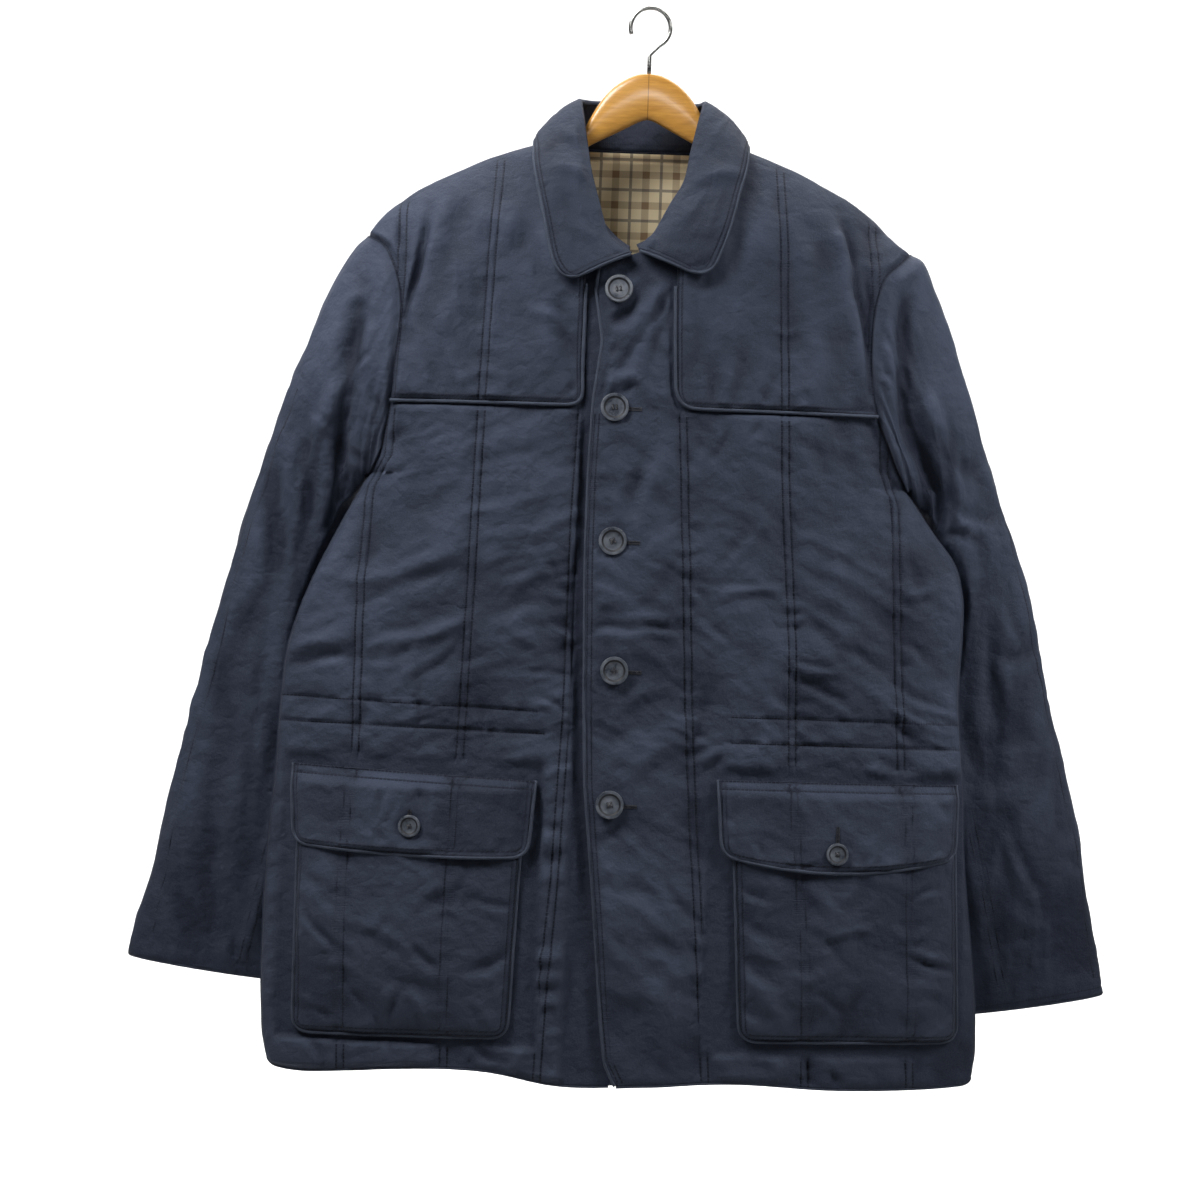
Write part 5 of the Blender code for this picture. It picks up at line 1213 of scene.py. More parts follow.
def build_collar():
    grid = refined(collar_grid(), ACROSS_COLLAR, ALONG_COLLAR)
    normals = grid_normals(grid)
    if np.sum(normals[50] * (grid[50] - INSIDE_NECK)) < 0:
        normals = -normals
    across = np.linalg.norm(np.diff(grid, axis=0), axis=-1).mean(axis=1)
    v = added_up(across)[:, None] * np.ones((1, grid.shape[1]))
    run = np.linalg.norm(np.diff(grid, axis=1), axis=-1)[FOLD_ROW:].mean(axis=0)
    u = np.ones((grid.shape[0], 1)) * added_up(run)[None, :]
    x, down = grid[..., 0], -grid[..., 2]
    leaf = ramp(v, *(v[row, 0] for row in LEAF_ROWS))
    near = np.minimum(np.minimum(u, u[:, -1:] - u), v[-1:] - v)
    height = creases(COLLAR_CREASES, x, down) * leaf * (grid[..., 1] < 5)
    height = height + 0.5 * unevenness(u, v, 50) * leaf
    stitched = np.where(leaf > 0.2, np.abs(near - PATCH_STITCH), FAR)
    height = height + groove(stitched, 0.35) + puckers(u, near, 130, 0.9, 7.0, 9.0) * leaf
    height = height - DITCH * np.exp(-((near - DITCH_IN) / 1.2) ** 2) * leaf
    # the ditch inside the collar's piping also gets painted shade
    stitched = np.where(leaf > 0.2, np.minimum(stitched, np.abs(near - DITCH_IN)), stitched)
    height = height * ramp(near, 0, 4)
    stitched = np.minimum(stitched, np.where(leaf < 0.01, np.abs(v - 3.0), FAR))
    outer = grid + normals * height[..., None]
    sew("collar", outer, grid - normals * (COLLAR_WALL - 0.3), u, -v, stitched, u, height)
    core = grid - normals * COLLAR_WALL / 2
    reach = CORD_RADIUS * 0.7
    one_end = (core[:, 0] + unit(core[:, 0] - core[:, 1]) * reach)[FOLD_ROW:-3]
    other_end = (core[:, -1] + unit(core[:, -1] - core[:, -2]) * reach)[FOLD_ROW:-3]
    below = (core[-1] + unit(core[-1] - core[-2]) * reach)[2:-2]
    CORDS["collar_piping"] = np.vstack([one_end, below, other_end[::-1]])


build_collar()

# %% [markdown]
# ## Lining
# The lining shows only behind the neck, so one piece is made there. It hangs a little loose
# inside the back, with two soft vertical waves.

# %% Back lining
def build_lining():
    u, v = np.meshgrid(np.linspace(-1, 1, 60), np.linspace(0, 1, 60))
    down = 122 + v * 150
    x = -4 + u * (50 + 62 * v ** 0.8)
    normals = surface_normals(back_y, x, down, 1)
    wave = 0.7 * np.sin(x / 11.0) * ramp(v, 0.0, 0.3) + 0.4 * lumps(x / 14, down / 40, 5)
    points = place(x, back_y(x, down), down) - normals * (WALL + 2.0 + wave)[..., None]
    sew("back_lining", points - normals * 0.8, points, x, -down)


build_lining()

# %% [markdown]
# ## Piping
# Cord covered with a bias strip runs round every loose edge. It is a long thin tube, so it is
# swept along the border lines that the panels gave, with its own flat map along the cord.

# %% Cords along the edges
def evenly(path, step):
    """The same line with its points one step apart."""
    path = np.asarray(path, float)
    path = path[np.concatenate([[True], np.linalg.norm(np.diff(path, axis=0), axis=1) > 1e-6])]
    length = added_up(np.linalg.norm(np.diff(path, axis=0), axis=1))
    at = np.linspace(0, length[-1], max(3, int(length[-1] / step)))
    return np.stack([np.interp(at, length, path[:, k]) for k in range(3)], axis=1)


def softened(path, passes):
    for _ in range(passes):
        path[1:-1] = 0.25 * path[:-2] + 0.5 * path[1:-1] + 0.25 * path[2:]
    return path


CORD_SIDES, CORD_STEP = 10, 2.2


def lay_cord(name, path, radius, passes=6):
    """A round cord swept along a line, with a flat map that runs along it."""
    sides = CORD_SIDES
    path = softened(evenly(path, CORD_STEP), passes)
    tangents = unit(np.gradient(path, axis=0))
    side = unit(np.cross(tangents[0], (0.31, 0.9, 0.29)))
    rings = []
    for number, (point, tangent) in enumerate(zip(path, tangents)):
        side = unit(side - tangent * np.dot(side, tangent))
        other = np.cross(tangent, side)
        turns = np.arange(sides) * 2 * math.pi / sides
        swell = radius * (1 + 0.05 * float(lumps(number / 2.5, 0.0, 3)))
        rings.append(point + swell * (np.outer(np.cos(turns), side) + np.outer(np.sin(turns), other)))
    points = np.vstack(rings) * MM
    faces = []
    for r in range(len(path) - 1):
        for s in range(sides):
            t = (s + 1) % sides
            faces.append((r * sides + s, r * sides + t, (r + 1) * sides + t, (r + 1) * sides + s))
    faces.append(tuple(range(sides))[::-1])
    faces.append(tuple((len(path) - 1) * sides + s for s in range(sides)))
    mesh = bpy.data.meshes.new(name)
    mesh.from_pydata([tuple(p) for p in points], [], faces)
    turned_out(mesh)
    mesh.shade_smooth()
    layer = mesh.uv_layers.new(name="flat")
    for polygon in mesh.polygons:
        for loop in polygon.loop_indices:
            vertex = mesh.loops[loop].vertex_index
            layer.data[loop].uv = ((vertex % sides) / sides * 0.01, vertex // sides * CORD_STEP * MM)
    for label, value in (("line", FAR), ("along", 0.0), ("relief", 2.0)):
        mark(mesh, label, np.full(len(mesh.vertices), value))
    keep(name, mesh)


def front_edge_cord():
    """Along the edge of the left front, from below the collar to the hem."""
    _, _, points, normals = fronts[2]
    start = int(np.argmin(np.abs(LEVELS - 224)))
    line = points[start:, -1] - normals[start:, -1] * (WALL / 2 - 0.6)
    return line + np.array([-CORD_RADIUS * 0.6, 0, 0])


def hem_cord():
    """Along the bottom edge of both fronts and round the back."""
    right, left, rear = ((points - normals * 1.2)[-1]
                         for points, normals in (fronts[1][2:], fronts[2][2:], back))
    return np.vstack([right[:-10][::-1], rear, left]) + np.array([0, 0, -CORD_RADIUS * 0.5])


CORDS["front_piping"] = front_edge_cord()
for cord_name, cord_path in CORDS.items():
    lay_cord(cord_name, cord_path, CORD_RADIUS)
lay_cord("hem_piping", hem_cord(), THIN_CORD, passes=2)
for side, (rings, normals) in sleeves.items():
    mouth = (rings - normals * 1.2)[-1]
    lay_cord(SIDE_WORD[side] + "_cuff_piping", np.vstack([mouth, mouth[:1]]), THIN_CORD, passes=1)

# %% [markdown]
# ## Shader maths as expressions
# A material's maths is easier to read as a sum than as a web of nodes. A small class wraps a
# socket, and adding or multiplying two of them puts the Math node there. Every other node
# comes from one method.

# %% Sockets that can be added and multiplied
class Socket:
    """A number flowing through a material."""

    def __init__(self, tree, link):
        self.tree, self.link = tree, link

    def maths(self, operation, first, second=None, third=None):
        node = self.tree.nodes.new("ShaderNodeMath")
        node.operation = operation
        for slot, value in zip(node.inputs, (first, second, third)):
            if isinstance(value, Socket):
                self.tree.links.new(value.link, slot)
            elif value is not None:
                slot.default_value = value
        return Socket(self.tree, node.outputs[0])

    def __add__(self, other):
        return self.maths("ADD", self, other)

    def __radd__(self, other):
        return self.maths("ADD", other, self)

    def __sub__(self, other):
        return self.maths("SUBTRACT", self, other)

    def __rsub__(self, other):
        return self.maths("SUBTRACT", other, self)

    def __mul__(self, other):
        return self.maths("MULTIPLY", self, other)

    def __rmul__(self, other):
        return self.maths("MULTIPLY", other, self)

    def __truediv__(self, other):
        return self.maths("DIVIDE", self, other)

    def __lt__(self, other):
        return self.maths("LESS_THAN", self, other)

    def wrapped(self, size):
        return self.maths("MODULO", self, size)

    def size(self):
        return self.maths("ABSOLUTE", self)

    def wave(self):
        return self.maths("SINE", self)

    def smallest(self, other):
        return self.maths("MINIMUM", self, other)


class Finish:
    """A material, its Principled shader and the nodes that feed it."""

    def __init__(self, name, roughness, metallic=0.0, sheen=0.0, coat=0.0, shine=0.5):
        self.material = bpy.data.materials.new(name)
        self.material.use_nodes = True
        self.tree = self.material.node_tree
        self.shader = self.tree.nodes["Principled BSDF"]
        settings = {"Roughness": roughness, "Metallic": metallic, "Sheen Weight": sheen,
                    "Sheen Roughness": 0.5, "Specular IOR Level": shine, "Coat Weight": coat,
                    "Coat Roughness": 0.15}
        for label, value in settings.items():
            self.shader.inputs[label].default_value = value

    def node(self, kind, settings=None, inputs=None, output=0):
        """Any node: its settings first, then what goes into its sockets."""
        made = self.tree.nodes.new(kind)
        for key, value in (settings or {}).items():
            if key == "stops":
                for spare in list(made.color_ramp.elements)[2:]:
                    made.color_ramp.elements.remove(spare)
                while len(made.color_ramp.elements) < len(value):
                    made.color_ramp.elements.new(0.5)
                for element, (at, colour) in zip(made.color_ramp.elements, value):
                    element.position = at
                    element.color = (*colour, 1.0)
            else:
                setattr(made, key, value)
        for key, value in (inputs or {}).items():
            if isinstance(value, Socket):
                self.tree.links.new(value.link, made.inputs[key])
            else:
                made.inputs[key].default_value = value
        return Socket(self.tree, made.outputs[output])

    def attribute(self, name):
        return self.node("ShaderNodeAttribute", {"attribute_name": name}, output="Fac")

    def flat(self):
        """The cloth's own flat measurements: u and v in metres."""
        uv = self.node("ShaderNodeUVMap", {"uv_map": "flat"})
        split = self.node("ShaderNodeSeparateXYZ", inputs={0: uv})
        other = Socket(self.tree, split.link.node.outputs[1])
        return uv, split, other

    def place(self):
        return self.node("ShaderNodeTexCoord", output="Object")

    def noise(self, where, scale, detail=3.0, roughness=0.55):
        return self.node("ShaderNodeTexNoise", inputs={
            "Vector": where, "Scale": scale, "Detail": detail, "Roughness": roughness})

    def mix(self, share, first, second):
        """From the first colour at 0 to the second at 1."""
        return self.node("ShaderNodeMix", {"data_type": "RGBA"}, {0: share, 6: first, 7: second}, output=2)

    def between(self, value, low, high):
        """0 at low, 1 at high, clamped."""
        return self.node("ShaderNodeMapRange", inputs={0: value, 1: low, 2: high, 3: 0.0, 4: 1.0})

    def weave(self, u, v, pitch):
        """Threads crossing at right angles, one pitch apart in metres."""
        return (u * (2 * math.pi / pitch)).wave() * (v * (2 * math.pi / pitch)).wave()

    def bump(self, height, distance, strength=1.0, normal=None):
        inputs = {"Height": height, "Distance": distance, "Strength": strength}
        if normal is not None:
            inputs["Normal"] = normal
        return self.node("ShaderNodeBump", inputs=inputs)

    def feed(self, **links):
        for name, value in links.items():
            self.tree.links.new(value.link, self.shader.inputs[name.replace("_", " ").title()])
        return self.material


def rgb(red, green, blue):
    """A colour as seen on screen, 0 to 255, as the linear values a shader wants."""
    linear = [((c / 255 + 0.055) / 1.055) ** 2.4 if c > 10 else c / 255 / 12.92 for c in (red, green, blue)]
    return (*linear, 1.0)


# %% [markdown]
# ## Navy cotton
# The shell is a fine plain weave with a dry, faintly glossy face. Years of wear have faded it
# unevenly and paled its ridges; its grooves, deep folds, stitched lines and seams get painted
# shade. Thread lies in the stitched lines as short dashes. Colour varies with the coat's own
# coordinates, weave with its flat map.

# %% Cloth material
STITCH = 3.2             # length of one stitch along a row, in millimetres
THREAD_PITCH, LINING_PITCH = 0.00085, 0.0006


def navy_cotton(name, light, dark, sheen=0.03):
    finish = Finish(name, 0.72, sheen=sheen, shine=0.22)
    uv, u, v = finish.flat()
    where = finish.place()
    broad = finish.noise(where, 7.0, 4.0, 0.6)
    cloudy = finish.noise(where, 38.0, 5.0, 0.65)
    fibre = finish.noise(uv, 900.0, 2.0, 0.6)
    relief, line, along = (finish.attribute(label) for label in ("relief", "line", "along"))
    # partly wear, partly painted shade: raised cloth is paler, low cloth is darker
    wear_and_groove_shade = finish.between(relief, -2.0, 5.0)
    share = broad * 0.4 + cloudy * 0.45 + wear_and_groove_shade * 0.5
    share = finish.between(share, 0.4, 0.95)
    colour = finish.mix(share, dark, light)
    speckle = finish.between(fibre, 0.35, 0.7)
    colour = finish.mix(speckle * 0.16, colour, rgb(92, 98, 112))
    stitch_gap = ((along / STITCH).wrapped(1.0).size() - 0.5).size()
    # painted shade along stitched lines, seams and ditches, with darker dashes where the thread lies
    line_shade_and_thread = 1 - finish.between(line, 0.3, 1.0)
    line_shade_and_thread = line_shade_and_thread * (finish.between(stitch_gap, 0.05, 0.2) * 0.5 + cloudy * 0.65)
    colour = finish.mix(line_shade_and_thread, colour, rgb(14, 19, 34))
    # painted shade: the lowest folds and troughs are darkened towards near-black navy
    deep = 1 - finish.between(relief, -3.2, -0.9)
    colour = finish.mix(deep * 0.55, colour, rgb(17, 23, 39))
    crossed = finish.weave(u, v, THREAD_PITCH)
    creased = finish.between((finish.noise(where, 40.0, 2.0, 0.5) - 0.5).size(), 0.0, 0.16)
    rumpled = finish.noise(where, 110.0, 4.0, 0.65)
    ladder = finish.node("ShaderNodeTexNoise", {"noise_dimensions": "1D"},
                         {"W": along * 0.24, "Detail": 2.0, "Roughness": 0.6})
    beside = 1 - finish.between(line, 0.0, 6.0)
    gathered = ladder * beside * beside * 0.6
    wrinkled = finish.bump(creased * 0.4 + rumpled + gathered, 0.0014, 1.0)
    weave = finish.bump(crossed + fibre * 0.8, 0.00012, 0.5, wrinkled)
    thread = (1 - finish.between(line, 0.2, 0.7)) * finish.between(stitch_gap, 0.06, 0.16)
    raised = finish.bump(thread, 0.0004, 0.8, weave)
    rough = cloudy * 0.14 + 0.64
    return finish.feed(base_color=colour, roughness=rough, normal=raised)


navy = navy_cotton("navy_cloth", rgb(54, 62, 80), rgb(29, 36, 53))
piping_cloth = navy_cotton("navy_piping", rgb(64, 72, 88), rgb(46, 53, 67), 0.05)
print("navy cloth has", len(navy.node_tree.nodes), "nodes")

# %% [markdown]
# ## Lining
# A woven cotton check in cream, brown and navy. It is a plain one of thin crossed lines, drawn
# from the flat map. Where two lines cross, the colours deepen, as in cloth woven that way.

# %% Lining material
def checked_cotton():
    finish = Finish("checked_lining", 0.8, sheen=0.15)
    _, u, v = finish.flat()
    where = finish.place()

    def stripes(value, pitch, start, width):
        wrapped = ((value + 1.0 + start) / pitch).wrapped(1.0) * pitch
        return (wrapped - pitch / 2).size() < width / 2

    brown_up, brown_across = stripes(u, 0.026, 0.0, 0.0062), stripes(v, 0.026, 0.004, 0.0062)
    navy_up, navy_across = stripes(u, 0.026, 0.013, 0.0024), stripes(v, 0.026, 0.017, 0.0024)
    cloudy = finish.noise(where, 60.0, 3.0)
    colour = finish.mix(cloudy, rgb(224, 207, 168), rgb(242, 228, 194))
    colour = finish.mix((brown_up + brown_across) * 0.42, colour, rgb(112, 78, 46))
    colour = finish.mix((navy_up + navy_across).smallest(1.0) * 0.6, colour, rgb(34, 36, 66))
    return finish.feed(base_color=colour,
                       normal=finish.bump(finish.weave(u, v, LINING_PITCH), 0.0001, 0.4))


lining = checked_cotton()

# %% [markdown]
# ## Buttons, wood and steel
# Buttons are dark polyester made like horn, faintly clouded. The hanger is varnished hardwood
# with its grain along each arm, and the hook is bright wire.

# %% Hard materials
def horn_button():
    finish = Finish("dark_button", 0.28, coat=0.25)
    where = finish.place()
    cloud = finish.noise(where, 120.0, 4.0, 0.6)
    colour = finish.mix(finish.between(cloud, 0.35, 0.75), rgb(60, 65, 75), rgb(116, 121, 130))
    return finish.feed(base_color=colour, roughness=cloud * 0.2 + 0.2)


def varnished_wood():
    finish = Finish("varnished_wood", 0.3, coat=0.35)
    where = finish.place()
    stretched = finish.node("ShaderNodeMapping", inputs={"Vector": where, "Scale": (10.0, 60.0, 90.0)})
    grain = finish.noise(stretched, 5.0, 5.0, 0.6)
    broad = finish.noise(where, 22.0, 2.0)
    colour = finish.mix(finish.between(grain, 0.3, 0.75), rgb(216, 158, 74), rgb(176, 117, 47))
    colour = finish.mix(broad * 0.35, colour, rgb(232, 180, 92))
    split = finish.node("ShaderNodeSeparateXYZ", inputs={0: where})
    seam = 1 - finish.between(split.size(), 0.0002, 0.0006)
    colour = finish.mix(seam * 0.7, colour, rgb(120, 74, 30))
    return finish.feed(base_color=colour, roughness=grain * 0.2 + 0.22,
                       normal=finish.bump(grain, 0.0002, 0.3))


def bright_steel():
    finish = Finish("hook_steel", 0.22, metallic=1.0)
    where = finish.place()
    scratches = finish.noise(where, 300.0, 3.0)
    colour = finish.mix(scratches, rgb(176, 176, 172), rgb(206, 206, 204))
    return finish.feed(base_color=colour, roughness=scratches * 0.2 + 0.15)


def thread():
    finish = Finish("button_thread", 0.6, sheen=0.3)
    fibre = finish.noise(finish.place(), 1500.0, 2.0)
    return finish.feed(base_color=finish.mix(fibre, rgb(12, 15, 26), rgb(26, 31, 46)))


# painted shade: a near-black colour for the sunk foot of the button's rim
def button_groove_shade():
    finish = Finish("button_groove_painted_shade", 0.6)
    cloud = finish.noise(finish.place(), 300.0, 3.0)
    return finish.feed(base_color=finish.mix(cloud, rgb(16, 18, 23), rgb(30, 33, 40)))


horn, groove_shade_finish, wood = horn_button(), button_groove_shade(), varnished_wood()
steel, cotton_thread = bright_steel(), thread()

# %% [markdown]
# ## The hanger
# The arm is one contoured piece of wood. A round section is laid at its left end, then
# extruded from station to station, each time moved and scaled, as one would by hand.

# %% Wooden hanger
# x, top down, bottom down
WOOD = [
    (0, 53, 92), (7, 53.6, 94.6), (13, 55, 98), (26, 62, 105), (38, 74, 111), (48, 92, 116),
    (52, 100.5, 119), (55, 108.5, 122), (59, 117, 127), (72, 124, 137), (100, 136, 152),
    (150, 159, 177), (184, 179, 192), (196, 188, 196)]
WOOD_THICKNESS, TIP_THINNER = 12.0, 0.25


def only(*pieces):
    """Selects just these pieces, with the first one active."""
    bpy.ops.object.select_all(action="DESELECT")
    for piece in pieces:
        piece.select_set(True)
    bpy.context.view_layer.objects.active = pieces[0]


def begin_editing(chosen="SELECT"):
    bpy.ops.object.mode_set(mode="EDIT")
    bpy.ops.mesh.select_mode(type="FACE")
    bpy.ops.mesh.select_all(action=chosen)


def end_editing():
    bpy.ops.mesh.select_all(action="SELECT")
    bpy.ops.mesh.normals_make_consistent(inside=False)
    bpy.ops.object.mode_set(mode="OBJECT")


def build_hanger():
    half = np.asarray(WOOD, float)
    table = np.vstack([half[:0:-1] * (-1, 1, 1), half])
    bpy.ops.object.select_all(action="DESELECT")
    first = table[0]
    bpy.ops.mesh.primitive_circle_add(vertices=20, radius=1.0, fill_type="NGON",
                                      location=(first[0] * MM, 0, -(first[1] + first[2]) / 2 * MM),
                                      rotation=(0, math.pi / 2, 0))
    arm = bpy.context.object
    arm.name = "wooden_hanger_arm"
    only(arm)
    bpy.ops.object.transform_apply(location=False, rotation=True, scale=False)
    begin_editing()
    tall = (first[2] - first[1]) / 2 * MM
    thick = WOOD_THICKNESS / 2 * (1 - TIP_THINNER) * MM
    bpy.ops.transform.resize(value=(1, thick, tall))
    for old, new in zip(table[:-1], table[1:]):
        old_tall, new_tall = old[2] - old[1], new[2] - new[1]
        old_thick, new_thick = (1 - TIP_THINNER * (abs(row[0]) / WOOD[-1][0]) ** 4 for row in (old, new))
        move = ((new[0] - old[0]) * MM, 0, -((new[1] + new[2]) - (old[1] + old[2])) / 2 * MM)
        bpy.ops.mesh.extrude_region_move(TRANSFORM_OT_translate={"value": move})
        bpy.ops.transform.resize(value=(1, new_thick / old_thick, new_tall / old_tall))
    end_editing()
    bpy.ops.object.transform_apply(location=True, rotation=True, scale=True)
    for vertex in arm.data.vertices:
        side = vertex.co.y / (WOOD_THICKNESS / 2 * MM)
        vertex.co.y = math.copysign(abs(side) ** 0.7, side) * WOOD_THICKNESS / 2 * MM
    soft = arm.modifiers.new("soft", "SUBSURF")
    soft.levels = soft.render_levels = 2
    bpy.ops.object.modifier_apply(modifier="soft")
    bpy.ops.object.shade_smooth()
    arm.data.materials.append(wood)
    PIECES["wooden_hanger_arm"] = arm
    print("hanger arm", len(arm.data.polygons), "faces")


build_hanger()

# %% [markdown]
# ## The hook
# A wire rises from the wood and turns round a crook. A small circle is extruded up the stem
# and then spun round the crook's centre.

# %% Wire hook
HOOK_WIRE, HOOK_INSIDE = 3.5, 15.0
CROOK, CROOK_STEPS = (-62, 200), 40      # where the crook starts and ends, in degrees


def build_hook():
    radius = (HOOK_INSIDE + HOOK_WIRE / 2) * MM
    centre = Vector((0, 0, -HOOK_INSIDE * MM))
    start, end = (math.radians(turn) for turn in CROOK)
    stem_top = Vector((0, 0, -(2 * HOOK_INSIDE + HOOK_WIRE / 2 + 6) * MM))
    begin = centre + Vector((math.cos(start), 0, math.sin(start))) * radius
    stations = [Vector((0, 0, -60 * MM)), Vector((0, 0, -45 * MM)), stem_top,
                Vector((begin.x * 0.42, 0, begin.z - 4.6 * MM))]
    for k in range(CROOK_STEPS + 1):
        turn = start + (end - start) * k / CROOK_STEPS
        stations.append(centre + Vector((math.cos(turn), 0, math.sin(turn))) * radius)
    bpy.ops.object.select_all(action="DESELECT")
    bpy.ops.mesh.primitive_circle_add(vertices=16, radius=HOOK_WIRE / 2 * MM, fill_type="NGON",
                                      location=stations[0])
    hook = bpy.context.object
    hook.name = "hanger_hook_wire"
    only(hook)
    begin_editing()
    heading = Vector((0, 0, 1))
    for old, new, after in zip(stations[:-1], stations[1:], stations[2:] + stations[-1:]):
        bpy.ops.mesh.extrude_region_move(TRANSFORM_OT_translate={"value": new - old})
        wanted = (after - old).normalized()
        angle = math.atan2(wanted.x, wanted.z) - math.atan2(heading.x, heading.z)
        angle = (angle + math.pi) % (2 * math.pi) - math.pi
        if abs(angle) > 1e-5:
            bpy.ops.transform.rotate(value=-angle, orient_axis="Y", center_override=new)
        heading = wanted
    end_editing()
    bpy.ops.object.transform_apply(location=True, rotation=True, scale=True)
    bpy.ops.object.shade_smooth()
    hook.data.materials.append(steel)
    PIECES["hanger_hook_wire"] = hook
    print("hook", len(hook.data.polygons), "faces, top at", max(v.co.z for v in hook.data.vertices))


build_hook()

# %% [markdown]
# ## Buttons
# A turned disc with a raised rim and four holes. One is modelled lying flat: a cylinder whose
# top is inset and sunk for the dish, with its rims bevelled and its holes cut by a boolean.
# Then each button is a copy, turned to face the way its cloth does.

# %% One button
# shares of the radius: the foot of the rim, which gets a painted shade colour, and where the holes are and
# how wide
GROOVE_STARTS, GROOVE_ENDS, HOLE_AT, HOLE_RADIUS = 0.66, 0.79, 0.19, 0.085
# the face's steps inwards as shares of the radius, and down as shares of the thickness
DISH = ((0.09, 0), (0.13, 0), (0.09, 0.32), (0.2, 0.10))


def build_button(diameter, thickness, name):
    radius = diameter / 2 * MM
    bpy.ops.object.select_all(action="DESELECT")
    bpy.ops.mesh.primitive_cylinder_add(vertices=48, radius=radius, depth=thickness * MM,
                                        location=(0, 0, thickness / 2 * MM))
    disc = bpy.context.object
    disc.name = name
    only(disc)
    bpy.ops.object.transform_apply(location=True, rotation=False, scale=False)
    begin_editing("DESELECT")
    bpy.ops.object.mode_set(mode="OBJECT")
    for face in disc.data.polygons:
        face.select = face.normal.z > 0.9
    bpy.ops.object.mode_set(mode="EDIT")
    for inwards, sunk in DISH:
        bpy.ops.mesh.inset(thickness=radius * inwards)
        bpy.ops.transform.translate(value=(0, 0, -thickness * sunk * MM))
    end_editing()
    rim = disc.modifiers.new("rim", "BEVEL")
    rim.width = 0.35 * MM
    rim.segments = 3
    rim.limit_method = "ANGLE"
    rim.angle_limit = math.radians(28)
    bpy.ops.object.modifier_apply(modifier="rim")
    for k in range(4):
        turn = math.pi / 4 + k * math.pi / 2
        spot = Vector((math.cos(turn), math.sin(turn), 0)) * radius * HOLE_AT
        bpy.ops.object.select_all(action="DESELECT")
        bpy.ops.mesh.primitive_cylinder_add(
            vertices=16, radius=radius * HOLE_RADIUS, depth=3 * thickness * MM, location=spot)
        drill = bpy.context.object
        only(disc)
        hole = disc.modifiers.new("hole", "BOOLEAN")
        hole.operation = "DIFFERENCE"
        hole.object = drill
        bpy.ops.object.modifier_apply(modifier="hole")
        bpy.data.objects.remove(drill)
    only(disc)
    bpy.ops.object.shade_smooth_by_angle(angle=math.radians(35))
    disc.data.materials.append(horn)
    disc.data.materials.append(groove_shade_finish)
    # faces at the foot of the rim take the painted shade colour
    for face in disc.data.polygons:
        from_axis = math.hypot(face.center.x, face.center.y) / radius
        face.material_index = int(GROOVE_STARTS < from_axis < GROOVE_ENDS)
    return disc


def build_threads(diameter, thickness, name, crossed):
    """Two bundles of thread through the four holes, side by side or crossed."""
    radius = diameter / 2 * MM
    off = radius * HOLE_AT * math.sqrt(0.5)
    ends = [((-off, -off), (-off, off)), ((off, -off), (off, off))]
    if crossed:
        ends = [((-off, -off), (off, off)), ((-off, off), (off, -off))]
    made = []
    for number, (one, two) in enumerate(ends):
        run = Vector((two[0] - one[0], two[1] - one[1], 0))
        middle = ((one[0] + two[0]) / 2, (one[1] + two[1]) / 2, thickness * (0.66 + 0.05 * number) * MM)
        heading = (math.pi / 2, 0, math.atan2(run.y, run.x) - math.pi / 2)
        bpy.ops.object.select_all(action="DESELECT")
        bpy.ops.mesh.primitive_cylinder_add(vertices=10, radius=radius * 0.06, depth=run.length * 1.25,
                                            location=middle, rotation=heading)
        strand = bpy.context.object
        only(strand)
        bpy.ops.object.transform_apply(location=True, rotation=True, scale=True)
        bpy.ops.object.mode_set(mode="EDIT")
        bpy.ops.mesh.select_all(action="SELECT")
        bpy.ops.mesh.bevel(offset=radius * 0.03, segments=2)
        bpy.ops.object.mode_set(mode="OBJECT")
        made.append(strand)
    only(*made)
    bpy.ops.object.join()
    joined = bpy.context.object
    joined.name = name
    bpy.ops.object.shade_smooth()
    joined.data.materials.append(cotton_thread)
    return joined


FRONT_BUTTON, FLAP_BUTTON, BUTTON_THICKNESS = 23.0, 18.0, 3.4
big_button = build_button(FRONT_BUTTON, BUTTON_THICKNESS, "pattern_front_button")
small_button = build_button(FLAP_BUTTON, BUTTON_THICKNESS, "pattern_flap_button")
big_threads = build_threads(FRONT_BUTTON, BUTTON_THICKNESS, "pattern_front_thread", False)
big_crossed = build_threads(FRONT_BUTTON, BUTTON_THICKNESS, "pattern_crossed_thread", True)
small_threads = build_threads(FLAP_BUTTON, BUTTON_THICKNESS, "pattern_flap_thread", True)
print("a button has", len(big_button.data.polygons), "faces")

# %% Buttons in their places
def on_front(x, down, height, side=2):
    """A spot above a front's surface, and the way the cloth faces there."""
    surface = FRONT_Y[side]
    x, down = np.array([float(x)]), np.array([float(down)])
    normal = surface_normals(surface, x, down, -1)[0]
    return Vector((place(x, surface(x, down), down)[0] + normal * height) * MM), Vector(normal)


def put(pattern, name, spot, normal, turn):
    """A copy of a flat pattern, turned to the cloth, with its own mesh."""
    copy = pattern.copy()
    copy.data = pattern.data.copy()
    copy.name = name
    bpy.context.scene.collection.objects.link(copy)
    right = Vector((0, 0, 1)).cross(normal).normalized()
    up = normal.cross(right)
    facing = Matrix((right, up, normal)).transposed().to_4x4()
    copy.data.transform(Matrix.Translation(spot) @ facing @ Matrix.Rotation(math.radians(turn), 4, "Z"))
    PIECES[name] = copy


